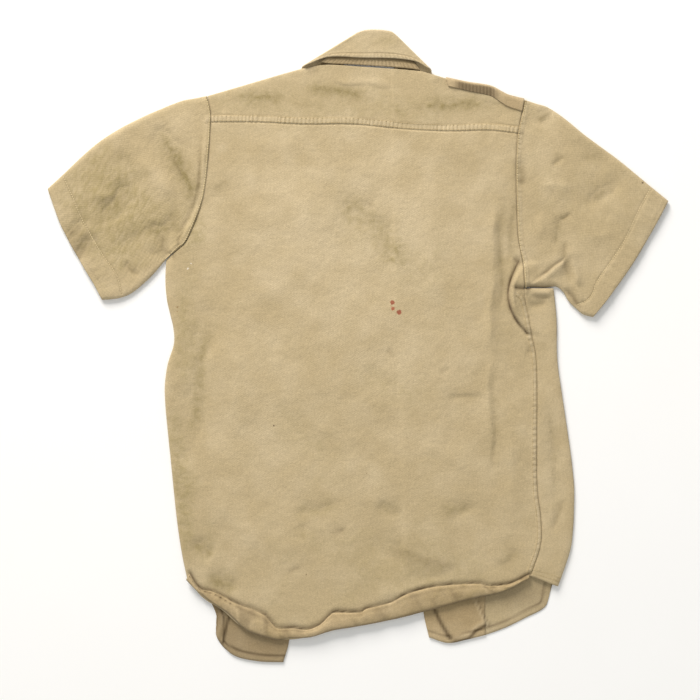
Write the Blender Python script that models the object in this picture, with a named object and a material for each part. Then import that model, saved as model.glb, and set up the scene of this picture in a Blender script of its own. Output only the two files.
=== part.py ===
"""Short-sleeved service shirt laid flat with its back up, one closed solid for each sewn piece.

Units in the tables are millimetres: across is +X (the wearer's right), up is +Y (towards the collar).
Every cloth wall is a surface halfway through the cloth, given its thickness by a Solidify modifier.
"""

import math
from collections import namedtuple

import bpy
import bmesh
import numpy as np
from mathutils import Matrix, Vector

MM = 0.001
CLOTH = 1.0                 # twill wall
DOUBLE = 1.6                # collar leaf and straps: two cloths and what stiffens them
SEAM_GAP = 0.3              # between pieces at a seam
UNDER_GAP = 2.8             # between the yoke's end under the shoulder and the fronts
FLOOR_LAYER = CLOTH / 2     # middle of the cloth that rests on the table
TOP_LAYER = 5.4             # middle of the back's cloth
FOLD_REACH = 9.0            # how far in from a fold its cloth is still curving
SIDE_WRAP = 20.0            # back cloth that goes under the left fold
SHOULDER_WRAP = 22.0        # yoke cloth that goes under the shoulder
HEM_WIDTH = 19.0            # turned-up back hem
CHEST_LIFT = DOUBLE + SEAM_GAP   # the collar wings and straps lie under the upper chest
EDGE_BAND = 30.0            # right front beside its buttoning edge, lying on the buttons
STRAP_WIDTH = 44.0
STRAP_SHARE = 0.78          # of the shoulder's length
BUTTON_RADIUS = 5.7
BUTTON_THICK = 2.2
BUTTON_SIDES = 20
FRONT_BUTTONS = 6
BUTTON_FROM_EDGE = 14.0
BUTTON_FIRST_DOWN = 24.0    # from the top of the right front's edge to the first button
BUTTON_PITCH = 88.0
CHEST_MIDDLE = 10.0         # the raised chest: its middle, half its width, where it starts and how it fades
CHEST_HALF = 214.0
CHEST_FROM = 176.0
CHEST_FADE = 44.0
BAND_FROM = -330.0          # the button band's cloth is raised from here up
BAND_FADE = 50.0
LEAST_CLEAR = 2.0 * CLOTH + 2 * SEAM_GAP + 0.2   # upper cloth over lower cloth, with a facing between
HALF_GAP = SEAM_GAP / 2
ROUND_FOLD = (0, 35, 62, 90)    # degrees round a fold at which the cloth has a row
NEAR_ARMHOLE = 1 / 7            # share of a sleeve in which it bends from the armhole's curve
SLEEVE_GAP = 0.6
NECK_EASE = 0.5                 # the fronts stop this much short of the collar's seam
NECK_SHARES = (0.32, 0.72)      # of the way across, where the neck starts and ends
YOKE_INNER_ROW = 24.0           # row of the yoke beside the shoulder's curve, in from the fold
YOKE_SHORT = 50.0               # where the yoke is no deeper than this, its rows are evened out
FACING_SHARES = (0.0, 0.34, 0.67, 1.0)
LEFT_FACING_WIDTH = 82.0
RIGHT_FACING_WIDTH = 70.0
LEAF_LOW = DOUBLE / 2                            # middle of the collar's leaf and stand, below and above
LEAF_HIGH = TOP_LAYER + CLOTH / 2 + SEAM_GAP + DOUBLE / 2 + 0.4
STAND_LOW = DOUBLE + SEAM_GAP + CLOTH / 2
STAND_HIGH = TOP_LAYER
LEAF_REACH = 3.6                # how far in from a slanting fold the leaf and the stand are curving
STAND_REACH = 2.6
STAND_INSET = 2.6               # of the stand inside the leaf at those folds
LEAF_DROP = 0.84                # the leaf's height at its upper fold, as a share
STRAP_BULGE = 1.6               # half the height of the fold that a strap lies round
STRAP_MIDDLE = 0.55             # of its width, where a strap has a row
STRAP_ROUNDED = 0.82            # of its width, at its buttoned end
HEM_RISE = 0.25                 # of the turned-up hem over the cloth it is turned onto
HEM_NARROW = 0.55               # of its width, at its two ends

Spot = namedtuple("Spot", "across up")
Fold = namedtuple("Fold", "across up to_across to_up height half_width")

# The body's outline, from the armpits down to the hem corners.
LEFT_SIDE = [Spot(-254, 114), Spot(-255, 88), Spot(-253, 62), Spot(-244, 22), Spot(-244, 2), Spot(-252, -24),
             Spot(-256, -56), Spot(-254, -90), Spot(-248, -150), Spot(-240, -227), Spot(-233, -274),
             Spot(-226, -308)]
RIGHT_SIDE = [Spot(260, 77), Spot(264, 36), Spot(265, -18), Spot(272, -69), Spot(281, -130), Spot(287, -182),
              Spot(287, -217), Spot(283, -267), Spot(266, -318)]
SIDE_SEAM = [Spot(221, 77), Spot(223, 55), Spot(231, 14), Spot(236, -10), Spot(238, -64), Spot(238, -177),
             Spot(243, -225), Spot(243, -262), Spot(229, -304)]
BACK_HEM = [Spot(-226, -308), Spot(-206, -332), Spot(-174, -353), Spot(-154, -371), Spot(-137, -379),
            Spot(-103, -388), Spot(-59, -384), Spot(-23, -373), Spot(43, -362), Spot(100, -347),
            Spot(157, -332), Spot(197, -320), Spot(229, -304)]

# Seams that show on the back.
LEFT_ARMHOLE = [Spot(-254, 114), Spot(-237, 130), Spot(-226, 141), Spot(-208, 184), Spot(-202, 210),
                Spot(-198, 242), Spot(-194, 297), Spot(-195, 315), Spot(-199, 332)]
RIGHT_ARMHOLE = [Spot(221, 77), Spot(219, 109), Spot(213, 140), Spot(210, 211), Spot(210, 250), Spot(212, 282),
                 Spot(217, 305), Spot(221, 327)]
YOKE_SEAM = [Spot(-194, 297), Spot(-134, 297), Spot(-70, 294), Spot(-7, 294), Spot(70, 287), Spot(125, 285),
             Spot(173, 286), Spot(212, 282)]
LEFT_SHOULDER = [Spot(-199, 332), Spot(-134, 351), Spot(-100, 361), Spot(-62, 371)]
RIGHT_SHOULDER = [Spot(88, 364), Spot(119, 355), Spot(148, 349), Spot(177, 344), Spot(198, 333), Spot(221, 327)]
NECK = [Spot(-62, 371), Spot(-38, 373.5), Spot(-4, 371.5), Spot(48, 368), Spot(72, 366), Spot(88, 364)]

# The sleeves, from armhole to cuff, and the cuffs from the shoulder side down.
LEFT_SLEEVE_TOP = [Spot(-199, 332), Spot(-235, 325), Spot(-300, 297), Spot(-347, 268), Spot(-384, 234),
                   Spot(-411, 209)]
LEFT_CUFF = [Spot(-411, 209), Spot(-393, 160), Spot(-369, 115), Spot(-347, 78), Spot(-339, 62)]
LEFT_SLEEVE_LOW = [Spot(-255.5, 115.5), Spot(-272, 95), Spot(-298, 72), Spot(-317, 64), Spot(-339, 62)]
RIGHT_SLEEVE_TOP = [Spot(221, 327), Spot(258, 314), Spot(304, 278), Spot(345, 248), Spot(391, 210),
                    Spot(412, 193)]
RIGHT_CUFF = [Spot(412, 193), Spot(391, 154), Spot(363, 107), Spot(330, 61), Spot(312, 39)]
RIGHT_SLEEVE_LOW = [Spot(221, 79), Spot(248, 78), Spot(268, 78), Spot(280, 60), Spot(300, 42), Spot(312, 39)]

# The two fronts underneath: the edges where they button, their necklines and their tails.
LEFT_FRONT_EDGE = [Spot(-96, 269), Spot(-94, 100), Spot(-92, -100), Spot(-91, -386), Spot(-99, -419)]
LEFT_NECKLINE = [Spot(-62, 371), Spot(-79, 320), Spot(-93, 278), Spot(-96, 269)]
LEFT_TAIL = [Spot(-207, -316), Spot(-196, -338), Spot(-186, -362), Spot(-186, -392), Spot(-170, -407),
             Spot(-137, -417), Spot(-99, -419)]
RIGHT_FRONT_EDGE = [Spot(68, 243), Spot(74, 60), Spot(82, -150), Spot(88, -353), Spot(95, -386)]
RIGHT_NECKLINE = [Spot(88, 364), Spot(78, 303.5), Spot(69.5, 252), Spot(68, 243)]
RIGHT_TAIL = [Spot(95, -386), Spot(125, -394), Spot(148, -388), Spot(185, -378), Spot(229, -357),
              Spot(250, -344), Spot(257, -316)]

# The collar is a ribbon: each row is a line across it, from the fold to the outer edge of the leaf,
# with layer 1 above, -1 underneath, and 0 on the slanting folds at its two ends.
Ruling = namedtuple("Ruling", "fold_across fold_up edge_across edge_up seam_across seam_up layer")
COLLAR = [
    Ruling(-68, 258, -142, 272, -96, 269, -1),
    Ruling(-50, 300, -122, 305, -87, 296, -1),
    Ruling(-27, 354, -96, 343, -74, 335, -1),
    Ruling(-1, 415, -73, 371, -55, 376, 0),
    Ruling(12, 419, -40, 383, -38, 373.5, 1),
    Ruling(24, 420, 5, 382, -4, 371.5, 1),
    Ruling(36, 419, 50, 381, 48, 368, 1),
    Ruling(44, 417, 78, 377, 72, 366, 1),
    Ruling(52, 411, 98, 366, 88, 364, 0),
    Ruling(48, 366, 103, 330, 83, 334, -1),
    Ruling(42, 300, 107, 272, 76, 291, -1),
    Ruling(38, 244, 109, 224, 68, 243, -1),
]

# The largest folds of the upper cloth. Heights are above or below the cloth's usual level.
BACK_FOLDS = [
    Fold(183, 194, 178, 85, 2.6, 11),
    Fold(178, 85, 175, -18, 3.2, 10),
    Fold(175, -18, 177, -177, 2.2, 9),
    Fold(193, 200, 198, 70, -1.6, 13),
    Fold(-200, 40, -216, -70, -1.6, 16),
    Fold(-216, -70, -229, -145, -1.5, 14),
    Fold(-6, 177, 52, 118, -1.5, 20),
    Fold(-176, 331, -88, 331, -1.3, 14),
    Fold(-83, 342, 30, 328, -1.3, 13),
    Fold(63, 306, 190, 311, -1.3, 13),
    Fold(33, -264, 108, -290, -1.3, 16),
]
SLEEVE_FOLDS = [
    Fold(-259, 279, -220, 208, -2.0, 18),
    Fold(-220, 208, -224, 174, -1.6, 14),
    Fold(-304, 207, -332, 174, -1.4, 18),
    Fold(-384, 141, -365, 163, -1.6, 9),
    Fold(-369, 116, -355, 141, -1.6, 9),
    Fold(-260, 155, -257, 114, -1.6, 8),
    Fold(230, 82, 283, 118, 2.0, 10),
    Fold(311, 193, 340, 211, -1.4, 16),
    Fold(237, 299, 257, 311, -1.2, 10),
]

# The pleat at the right armpit, a flap of the back's cloth that bows out to its left.
Pleat = namedtuple("Pleat", "front middle half_length bow height steep shallow_from shallow")
ARMPIT_PLEAT = Pleat(front=223, middle=64, half_length=48, bow=22, height=3.4, steep=6, shallow_from=6,
                     shallow=26)

MATERIALS = {
    "khaki_twill": ((0.571, 0.454, 0.270), 0.9),
    "khaki_twill_inside": ((0.540, 0.432, 0.262), 0.92),
    "brown_button": ((0.105, 0.062, 0.030), 0.45),
}


class Curve:
    """A smooth curve through a table's spots, read by its share of the length."""

    def __init__(self, spots):
        corner = np.array([[spot.across, spot.up] for spot in spots], dtype=float)
        ends = np.vstack([2 * corner[0] - corner[1], corner, 2 * corner[-1] - corner[-2]])
        steps = np.linspace(0, 1, 16, endpoint=False)[:, None]
        spans = [self.span(ends[i:i + 4], steps) for i in range(len(corner) - 1)]
        self.points = np.vstack(spans + [corner[-1:]])
        run = np.linalg.norm(np.diff(self.points, axis=0), axis=1)
        self.shares = np.concatenate([[0.0], np.cumsum(run)]) / run.sum()
        self.length = run.sum()

    @staticmethod
    def span(four, t):
        before, start, end, after = four
        pull = 0.5
        leave = pull * (end - before)
        arrive = pull * (after - start)
        return ((2 * t**3 - 3 * t**2 + 1) * start + (t**3 - 2 * t**2 + t) * leave
                + (-2 * t**3 + 3 * t**2) * end + (t**3 - t**2) * arrive)

    def at(self, share):
        share = np.asarray(share, dtype=float)
        return np.stack([np.interp(share, self.shares, self.points[:, axis]) for axis in (0, 1)], axis=-1)


def reverse(spots):
    return list(reversed(spots))


class Patch:
    """A four-sided piece of plan, filled in smoothly between its edges (left and right run upwards)."""

    def __init__(self, left, right, bottom, top):
        self.left = Curve(left)
        self.right = Curve(right)
        self.bottom = Curve(bottom)
        self.top = Curve(top)

    def plan(self, along, rise):
        """Points for every share along each row and every share of the rise, as rows of points."""
        u = np.asarray(along, dtype=float)[None, :, None]
        v = np.asarray(rise, dtype=float)[:, None, None]
        bottom = self.bottom.at(along)[None]
        top = self.top.at(along)[None]
        left = self.left.at(rise)[:, None]
        right = self.right.at(rise)[:, None]
        first, last = self.bottom.at([0.0, 1.0]), self.top.at([0.0, 1.0])
        corners = ((1 - u) * (1 - v) * first[0] + u * (1 - v) * first[1]
                   + (1 - u) * v * last[0] + u * v * last[1])
        return (1 - v) * bottom + v * top + (1 - u) * left + u * right - corners


def smooth(t):
    t = np.clip(t, 0.0, 1.0)
    return t * t * (3 - 2 * t)


BUTTON_EDGE = Curve(reverse(RIGHT_FRONT_EDGE))


def front_button_spots():
    """Places of the buttons, evenly down the right front beside its edge."""
    spots = []
    for number in range(FRONT_BUTTONS):
        down = BUTTON_FIRST_DOWN + number * BUTTON_PITCH
        point = BUTTON_EDGE.at(1 - down / BUTTON_EDGE.length)
        spots.append((float(point[0]) + BUTTON_FROM_EDGE, float(point[1])))
    return spots


def away_from(x, y, fold):
    """Distance of each point from a fold's line."""
    run = np.array([fold.to_across - fold.across, fold.to_up - fold.up], dtype=float)
    length = math.hypot(*run)
    run /= length
    ahead = (x - fold.across) * run[0] + (y - fold.up) * run[1]
    beyond = ahead - np.clip(ahead, 0, length)
    side = (x - fold.across) * run[1] - (y - fold.up) * run[0]
    return np.hypot(side, beyond)


def fold_height(x, y, folds):
    total = np.zeros_like(x)
    for fold in folds:
        total += fold.height * np.exp(-(away_from(x, y, fold) / fold.half_width) ** 2)
    return total


def low_layer(x, y):
    """Height of the middle of the cloth on the table: raised over the collar wings, straps and buttons."""
    inside = 1 - smooth((np.abs(x - CHEST_MIDDLE) - CHEST_HALF) / CHEST_FADE)
    chest = CHEST_LIFT * smooth((y - CHEST_FROM) / CHEST_FADE) * inside
    from_edge = x - np.interp(y, BUTTON_EDGE.points[:, 1], BUTTON_EDGE.points[:, 0])
    band = (1 - smooth((from_edge - EDGE_BAND) / EDGE_BAND)) * smooth((from_edge + EDGE_BAND) / 10)
    band = band * smooth((y - BAND_FROM) / BAND_FADE)
    return FLOOR_LAYER + np.maximum(chest, (BUTTON_THICK + SEAM_GAP) * band)


def pleat_height(x, y):
    """The pleat at the right armpit: it rises sharply on its left and fades to its right."""
    pleat = ARMPIT_PLEAT
    share = np.clip((y - pleat.middle) / pleat.half_length, -1, 1)
    from_front = x - pleat.front + pleat.bow * (1 - share ** 2)
    rise = smooth((from_front + 2) / pleat.steep)
    rise = rise * (1 - smooth((from_front - pleat.shallow_from) / pleat.shallow))
    return pleat.height * np.sqrt(1 - share ** 2) * rise


def high_layer(x, y):
    """Height of the middle of the upper cloth, with its folds, always clear of what lies under it."""
    base = TOP_LAYER + fold_height(x, y, BACK_FOLDS) + fold_height(x, y, SLEEVE_FOLDS) + pleat_height(x, y)
    return np.maximum(base, low_layer(x, y) + LEAST_CLEAR)


def layered(plan, weight):
    """Points at a weight between the low layer (-1) and the high layer (1)."""
    x, y = plan[..., 0], plan[..., 1]
    low = low_layer(x, y)
    high = high_layer(x, y)
    z = (high + low) / 2 + weight * (high - low) / 2
    return np.concatenate([plan, z[..., None]], axis=-1)


def fold_stations(degrees):
    """Distance in from the fold and layer weight, for an angle round it."""
    angle = np.radians(np.asarray(degrees, dtype=float))
    return CLOTH / 2 + FOLD_REACH * (1 - np.cos(angle)), np.sin(angle)


class Cloth:
    """Quads gathered from grids of points, turned into one closed solid."""

    def __init__(self, name):
        self.name = name
        self.mesh = bmesh.new()

    def grid(self, points, keep=None):
        """Add a grid of points in millimetres, rows by columns; keep says which quads are made."""
        rows, columns = points.shape[:2]
        verts = [[self.mesh.verts.new(Vector(points[r, c]) * MM) for c in range(columns)] for r in range(rows)]
        for r in range(rows - 1):
            for c in range(columns - 1):
                if keep is None or keep(r, c):
                    self.mesh.faces.new((verts[r][c], verts[r][c + 1], verts[r + 1][c + 1], verts[r + 1][c]))

    def finish(self, slot, wall):
        bmesh.ops.remove_doubles(self.mesh, verts=self.mesh.verts, dist=0.02 * MM)
        loose = [vert for vert in self.mesh.verts if not vert.link_faces]
        bmesh.ops.delete(self.mesh, geom=loose, context="VERTS")
        bmesh.ops.recalc_face_normals(self.mesh, faces=self.mesh.faces)
        item = add_object(self.name, self.mesh, slot)
        walls = item.modifiers.new("wall", "SOLIDIFY")
        walls.thickness = wall * MM
        walls.offset = 0.0
        walls.use_even_offset = False
        walls.use_rim = True
        return item


def add_object(name, mesh, slot):
    data = bpy.data.meshes.new(name)
    mesh.to_mesh(data)
    mesh.free()
    item = bpy.data.objects.new(name, data)
    item.data.materials.append(material(slot))
    bpy.context.collection.objects.link(item)
    return item


def material(slot):
    found = bpy.data.materials.get(slot)
    if found:
        return found
    colour, roughness = MATERIALS[slot]
    made = bpy.data.materials.new(slot)
    made.use_nodes = True
    shader = made.node_tree.nodes["Principled BSDF"]
    shader.inputs["Base Color"].default_value = (*colour, 1.0)
    shader.inputs["Roughness"].default_value = roughness
    shader.inputs["Metallic"].default_value = 0.0
    return made


# Shares of the rise from the hem to the armpit, closer together beside the armpit pleat.
LOW_ROWS = np.concatenate([np.linspace(0, 0.74, 12), np.linspace(0.79, 1.0, 6)])
# Shares of the armhole from the armpit to the yoke's seam, then shares of the rest up to the shoulder.
ARMHOLE_ROWS = np.array([0.0, 0.05, 0.17, 0.33, 0.50, 0.67, 0.84, 1.0])
YOKE_ROWS = np.array([0.0, 0.35])
FOLD_IN, FOLD_WEIGHT = fold_stations(ROUND_FOLD)
CHEST = [Spot(-254, 114), Spot(-100, 102), Spot(80, 88), Spot(221, 77)]


def spots_from(points):
    return [Spot(float(x), float(y)) for x, y in points]


def part_of(curve, start, end, count=30):
    return spots_from(curve.at(np.linspace(start, end, count)))


def share_at_height(curve, up):
    return float(np.interp(up, curve.points[:, 1], curve.shares))


class Armhole:
    """One armhole seam and the places on it where the rows of cloth on both sides meet."""

    def __init__(self, spots, seam_up):
        self.curve = Curve(spots)
        self.seam_share = share_at_height(self.curve, seam_up)
        self.below_yoke = part_of(self.curve, 0, self.seam_share)
        self.beside_yoke = part_of(self.curve, self.seam_share, 1)
        self.wrap_share = 1 - (SHOULDER_WRAP + UNDER_GAP) / self.curve.length

    def rows(self):
        """Shares of the whole armhole for the rows below the yoke and on it."""
        below = ARMHOLE_ROWS * self.seam_share
        beside = self.seam_share + YOKE_ROWS[1:] * (1 - self.seam_share)
        return np.concatenate([below, beside])

    def fold_rows(self):
        return 1 - FOLD_IN[::-1] / self.curve.length


LEFT_ARM = Armhole(LEFT_ARMHOLE, YOKE_SEAM[0].up)
RIGHT_ARM = Armhole(RIGHT_ARMHOLE, YOKE_SEAM[-1].up)
BACK_LOW = Patch(reverse(LEFT_SIDE), reverse(SIDE_SEAM), BACK_HEM, CHEST)
BACK_HIGH = Patch(LEFT_ARM.below_yoke, RIGHT_ARM.below_yoke, CHEST, YOKE_SEAM)


def back_columns():
    """Shares across the back, closer together at the folds on its right."""
    width = BACK_LOW.top.length
    marks = np.concatenate([FOLD_IN, np.linspace(32, 405, 14), [418, 429, 437, 446, 455, 464],
                            [width - HALF_GAP]])
    return marks / width


def build_back():
    cloth = Cloth("back")
    columns = back_columns()
    weights = np.concatenate([FOLD_WEIGHT, np.ones(len(columns) - len(FOLD_WEIGHT))])
    cloth.grid(layered(BACK_LOW.plan(columns, LOW_ROWS), weights[None, :]))
    cloth.grid(wrapped_under())
    rise = ARMHOLE_ROWS.copy()
    rise[-1] -= HALF_GAP / BACK_HIGH.left.length
    plan = BACK_HIGH.plan(columns, rise)
    plan[0] = BACK_LOW.plan(columns, [1.0])[0]
    plan[1:, :len(FOLD_IN)] += seam_shift(len(rise) - 1)
    up_weights = np.ones((len(rise), len(columns)))
    up_weights[0] = weights
    up_weights[1, :2] = [0.8, 0.9]
    cloth.grid(layered(plan, up_weights))
    return cloth.finish("khaki_twill", CLOTH)


def seam_shift(rows):
    """Brings the first columns above the armpit back to the seam, with only its gap."""
    shift = np.zeros((rows, len(FOLD_IN), 2))
    shift[..., 0] = HALF_GAP - CLOTH / 2
    return shift


def fold_narrowing(rows):
    """The left fold gets tighter towards the armpit."""
    return 1 - 0.55 * smooth((rows - 0.7) / 0.3)


def way_in_from(curve, rows, side):
    """Unit direction in from a rising edge, for a body that lies on its given side (1 right, -1 left)."""
    ahead = curve.at(np.clip(rows + 0.01, 0, 1)) - curve.at(np.clip(rows - 0.01, 0, 1))
    ahead /= np.linalg.norm(ahead, axis=1)[:, None]
    return side * np.stack([ahead[:, 1], -ahead[:, 0]], axis=1)


def under_left_fold(distance):
    """Plan points in from the left fold, on every row below the armpit."""
    start = BACK_LOW.plan(back_columns()[:1], LOW_ROWS)[:, 0]
    return start + way_in_from(BACK_LOW.left, LOW_ROWS, 1) * (distance * fold_narrowing(LOW_ROWS))[:, None]


def wrapped_under():
    """The back's cloth round the left fold and under it."""
    level = np.ones(len(LOW_ROWS))
    columns = [layered(under_left_fold(SIDE_WRAP), -level)]
    for distance, weight in reversed(list(zip(FOLD_IN - FOLD_IN[0], FOLD_WEIGHT))):
        columns.append(layered(under_left_fold(distance), -weight * level))
    return np.stack(columns, axis=1)


def edge_spot_at(spots, up):
    """The spot of an edge at a given height."""
    curve = Curve(spots)
    across = np.interp(up, curve.points[:, 1], curve.points[:, 0])
    return Spot(float(across), float(up))


def split_at(spots, middle):
    lower = [spot for spot in spots if spot.up < middle.up - 8]
    upper = [spot for spot in spots if spot.up > middle.up + 8]
    return lower + [middle], [middle] + upper


def front_rows(arm):
    """Shares of the rise of a front's upper half, whose top is cut off where the yoke's cloth ends."""
    rows = arm.rows()
    return np.concatenate([rows[rows < arm.wrap_share - 0.02], [arm.wrap_share]]) / arm.wrap_share


def upper_front(arm, inner_edge, chest, columns, inner_first, neck_up):
    """Plan of a front above the armpit; inner_first puts the buttoning side at the start of a row.

    neck_up is the height of the corner between the buttoning edge and the neckline.
    """
    outer = part_of(arm.curve, 0, arm.wrap_share)
    inner_curve = Curve(inner_edge)
    cut = 1 - (SHOULDER_WRAP + UNDER_GAP) / inner_curve.length
    inner = part_of(inner_curve, 0, cut)
    outer[-1] = yoke_end_spot(inner_first)
    left, right = (inner, outer) if inner_first else (outer, inner)
    top = [left[-1]] + under_yoke_line(inner_first) + [right[-1]]
    rows = front_rows(arm)
    plan = Patch(left, right, spots_from(chest), top).plan(columns, rows)
    corner = share_at_height(inner_curve, neck_up)
    nearest = int(np.argmin(np.abs(rows * cut - corner)))
    matched = inner_curve.at(np.interp(rows, [0, rows[nearest], 1], [0, corner, cut]))
    plan = pulled_to(plan, matched) if inner_first else pulled_to(plan[:, ::-1], matched)[:, ::-1]
    plan[0] = chest
    return plan


def yoke_end_spot(right_side):
    """The spot just below the yoke's wrapped cloth, beside the armhole."""
    plan, _, way_down = yoke_plan()
    column = -1 if right_side else 0
    return Spot(*(plan[-1, column] + way_down[column] * (SHOULDER_WRAP + UNDER_GAP)))


def under_yoke_line(right_side):
    """Spots just below the yoke's wrapped cloth on one shoulder, between its ends."""
    plan, folded, way_down = yoke_plan()
    line = plan[-1] + way_down * (SHOULDER_WRAP + UNDER_GAP - CLOTH / 2)
    chosen = np.flatnonzero(folded & ((plan[-1, :, 0] > 0) == right_side))[1:-1]
    return spots_from(line[chosen])


def pulled_to(plan, target):
    """Moves the first column onto its target and the others less and less."""
    share = np.linspace(1, 0, plan.shape[1])[None, :, None] ** 2
    return plan + (target - plan[:, 0])[:, None] * share


def front_left_plan():
    """Plan rows of the left front's lower and upper half; its last columns carry the facing."""
    seam = under_left_fold(SIDE_WRAP) + way_in_from(BACK_LOW.left, LOW_ROWS, 1) * SEAM_GAP
    lower_edge, upper_edge = split_at(reverse(LEFT_FRONT_EDGE), edge_spot_at(reverse(LEFT_FRONT_EDGE), 100))
    width = upper_edge[0].across - seam[-1, 0]
    facing = 1 - LEFT_FACING_WIDTH * np.array(FACING_SHARES[::-1]) / width
    columns = np.concatenate([np.linspace(0, facing[0], 4)[:-1], facing])
    chest = [Spot(*seam[-1]), Spot((seam[-1, 0] + upper_edge[0].across) / 2, 104), upper_edge[0]]
    tail = [Spot(*seam[0])] + LEFT_TAIL[1:]
    low = pulled_to(Patch(spots_from(seam), lower_edge, tail, chest).plan(columns, LOW_ROWS), seam)
    inner = upper_edge + reverse(LEFT_NECKLINE)[1:]
    high = upper_front(LEFT_ARM, inner, low[-1], columns, False, LEFT_FRONT_EDGE[0].up)
    high[1:, 0, 0] += HALF_GAP
    high[1:, -1, 0] -= NECK_EASE
    return low, high


def build_front_left():
    cloth = Cloth("front_left")
    low, high = front_left_plan()
    cloth.grid(layered(low, -1.0))
    cloth.grid(layered(high, -1.0))
    return cloth.finish("khaki_twill", CLOTH)


def right_fold_stations():
    """Plan points in from the right fold, from its inner end to the fold, on every row below the armpit."""
    top_up = RIGHT_SIDE[0].up - SEAM_GAP
    side = Curve(reverse(RIGHT_SIDE)[:-1] + [Spot(RIGHT_SIDE[0].across, top_up)])
    inward = way_in_from(side, LOW_ROWS, -1)
    inward[-1] = (-1.0, 0.0)
    return side.at(LOW_ROWS)[:, None] + inward[:, None] * FOLD_IN[::-1][None, :, None]


def front_right_plan():
    """Plan rows of the right front's lower half, in to its fold's stations, and of its upper half."""
    edge = reverse(RIGHT_FRONT_EDGE)
    lower_edge, upper_edge = split_at(edge, edge_spot_at(edge, 90))
    bend = right_fold_stations()[:, 0]
    arm_across = RIGHT_ARMHOLE[0].across
    chest = [upper_edge[0], Spot(150, 83), Spot(arm_across, bend[-1, 1]), Spot(*bend[-1])]
    low = Patch(lower_edge, spots_from(bend), RIGHT_TAIL[:-1] + [Spot(*bend[0])], chest)
    inner = (arm_across - upper_edge[0].across) / (bend[-1, 0] - upper_edge[0].across)
    facing = RIGHT_FACING_WIDTH * np.array(FACING_SHARES) / low.top.length
    main = np.concatenate([facing, np.linspace(facing[-1], inner, 4)[1:]])
    plan = low.plan(np.concatenate([main, [(inner + 1) / 2, 1.0]]), LOW_ROWS)
    plan[:, -1] = bend
    chest_row = plan[-1, :len(main)]
    neck_side = upper_edge + reverse(RIGHT_NECKLINE)[1:]
    high = upper_front(RIGHT_ARM, neck_side, chest_row, main / inner, True, RIGHT_FRONT_EDGE[0].up)
    high[1:, -1, 0] -= HALF_GAP
    high[1:, 0, 0] += NECK_EASE
    return plan, high


def build_front_right():
    cloth = Cloth("front_right")
    low, high = front_right_plan()
    stations = right_fold_stations()
    cloth.grid(layered(low, -1.0))
    cloth.grid(layered(high, -1.0))
    cloth.grid(layered(stations, -FOLD_WEIGHT[::-1][None, :]))
    cloth.grid(side_strip(stations))
    return cloth.finish("khaki_twill", CLOTH)


def side_strip(stations):
    """The right front's cloth on the upper side, from the fold in to the side seam."""
    level = np.ones(len(LOW_ROWS))
    seam = BACK_LOW.plan([1.0], LOW_ROWS)[:, 0] + np.array([HALF_GAP, 0.0])
    seam[-1, 1] = stations[-1, 0, 1]
    columns = []
    for index, weight in enumerate(FOLD_WEIGHT):
        columns.append(layered(stations[:, -1 - index], weight * level))
    columns.append(layered((stations[:, 0] + seam) / 2, level))
    columns.append(layered(seam, level))
    return np.stack(columns, axis=1)


def yoke_top_edge():
    return LEFT_SHOULDER + NECK[1:] + RIGHT_SHOULDER[1:]


def yoke_plan():
    """Plan rows of the yoke up to its top edge, and which columns end in a folded shoulder."""
    left, neck, right = Curve(LEFT_SHOULDER), Curve(NECK), Curve(RIGHT_SHOULDER)
    seam = Curve(YOKE_SEAM)
    top = Curve(yoke_top_edge())
    marks = back_columns()[len(FOLD_IN):-1]
    columns = np.concatenate([[HALF_GAP / seam.length], marks, [1 - HALF_GAP / seam.length]])
    neck_first, neck_last = [int(np.argmin(np.abs(columns - share))) for share in NECK_SHARES]
    ends = [left.length / top.length, 1 - right.length / top.length]
    top_shares = np.interp(columns, [0, columns[neck_first], columns[neck_last], 1], [0, *ends, 1])
    patch = Patch(LEFT_ARM.beside_yoke, RIGHT_ARM.beside_yoke, YOKE_SEAM, yoke_top_edge())
    bottom = seam.at(columns) + np.array([0.0, HALF_GAP])
    edge = top.at(top_shares)
    way_down = patch.plan(columns, [YOKE_ROWS[1]])[0] - edge
    for column, line in ((neck_first, LEFT_NECKLINE), (neck_last, RIGHT_NECKLINE)):
        way_down[column] = np.array(line[1]) - np.array(line[0])
    way_down /= np.linalg.norm(way_down, axis=1)[:, None]
    rows = [bottom, bottom + (edge - bottom) * YOKE_ROWS[1], edge + way_down * YOKE_INNER_ROW]
    rows[1][[0, -1]] = patch.plan([0, 1], [YOKE_ROWS[1]])[0]
    rows += [edge + way_down * distance for distance in FOLD_IN[::-1]]
    numbers = np.arange(len(columns))
    folded = (numbers <= neck_first) | (numbers >= neck_last)
    gap_in = np.zeros((len(rows), len(columns), 2))
    gap_in[:, 0, 0] = HALF_GAP
    gap_in[:, -1, 0] = -HALF_GAP
    plan = np.stack(rows) + gap_in
    short = np.linalg.norm(bottom - edge, axis=1) < YOKE_SHORT
    plan[2, short] = (plan[1, short] + plan[3, short]) / 2
    return plan, folded, way_down


def shoulder_wrap(plan, way_down, distance, weight):
    """A row of the cloth under the shoulder's fold."""
    row = plan[-1] + way_down * distance
    return layered(row, -weight * np.ones(len(row)))


def build_yoke():
    cloth = Cloth("yoke")
    plan, folded, way_down = yoke_plan()
    weights = np.ones(plan.shape[:2])
    weights[-len(FOLD_WEIGHT):, folded] = FOLD_WEIGHT[::-1][:, None]
    cloth.grid(layered(plan, weights))
    rows = [shoulder_wrap(plan, way_down, distance, weight)
            for distance, weight in zip(FOLD_IN - FOLD_IN[0], FOLD_WEIGHT)]
    rows.append(shoulder_wrap(plan, way_down, SHOULDER_WRAP, 1.0))
    cloth.grid(np.stack(rows), keep=lambda r, c: folded[c] and folded[c + 1])
    return cloth.finish("khaki_twill", CLOTH)


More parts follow.
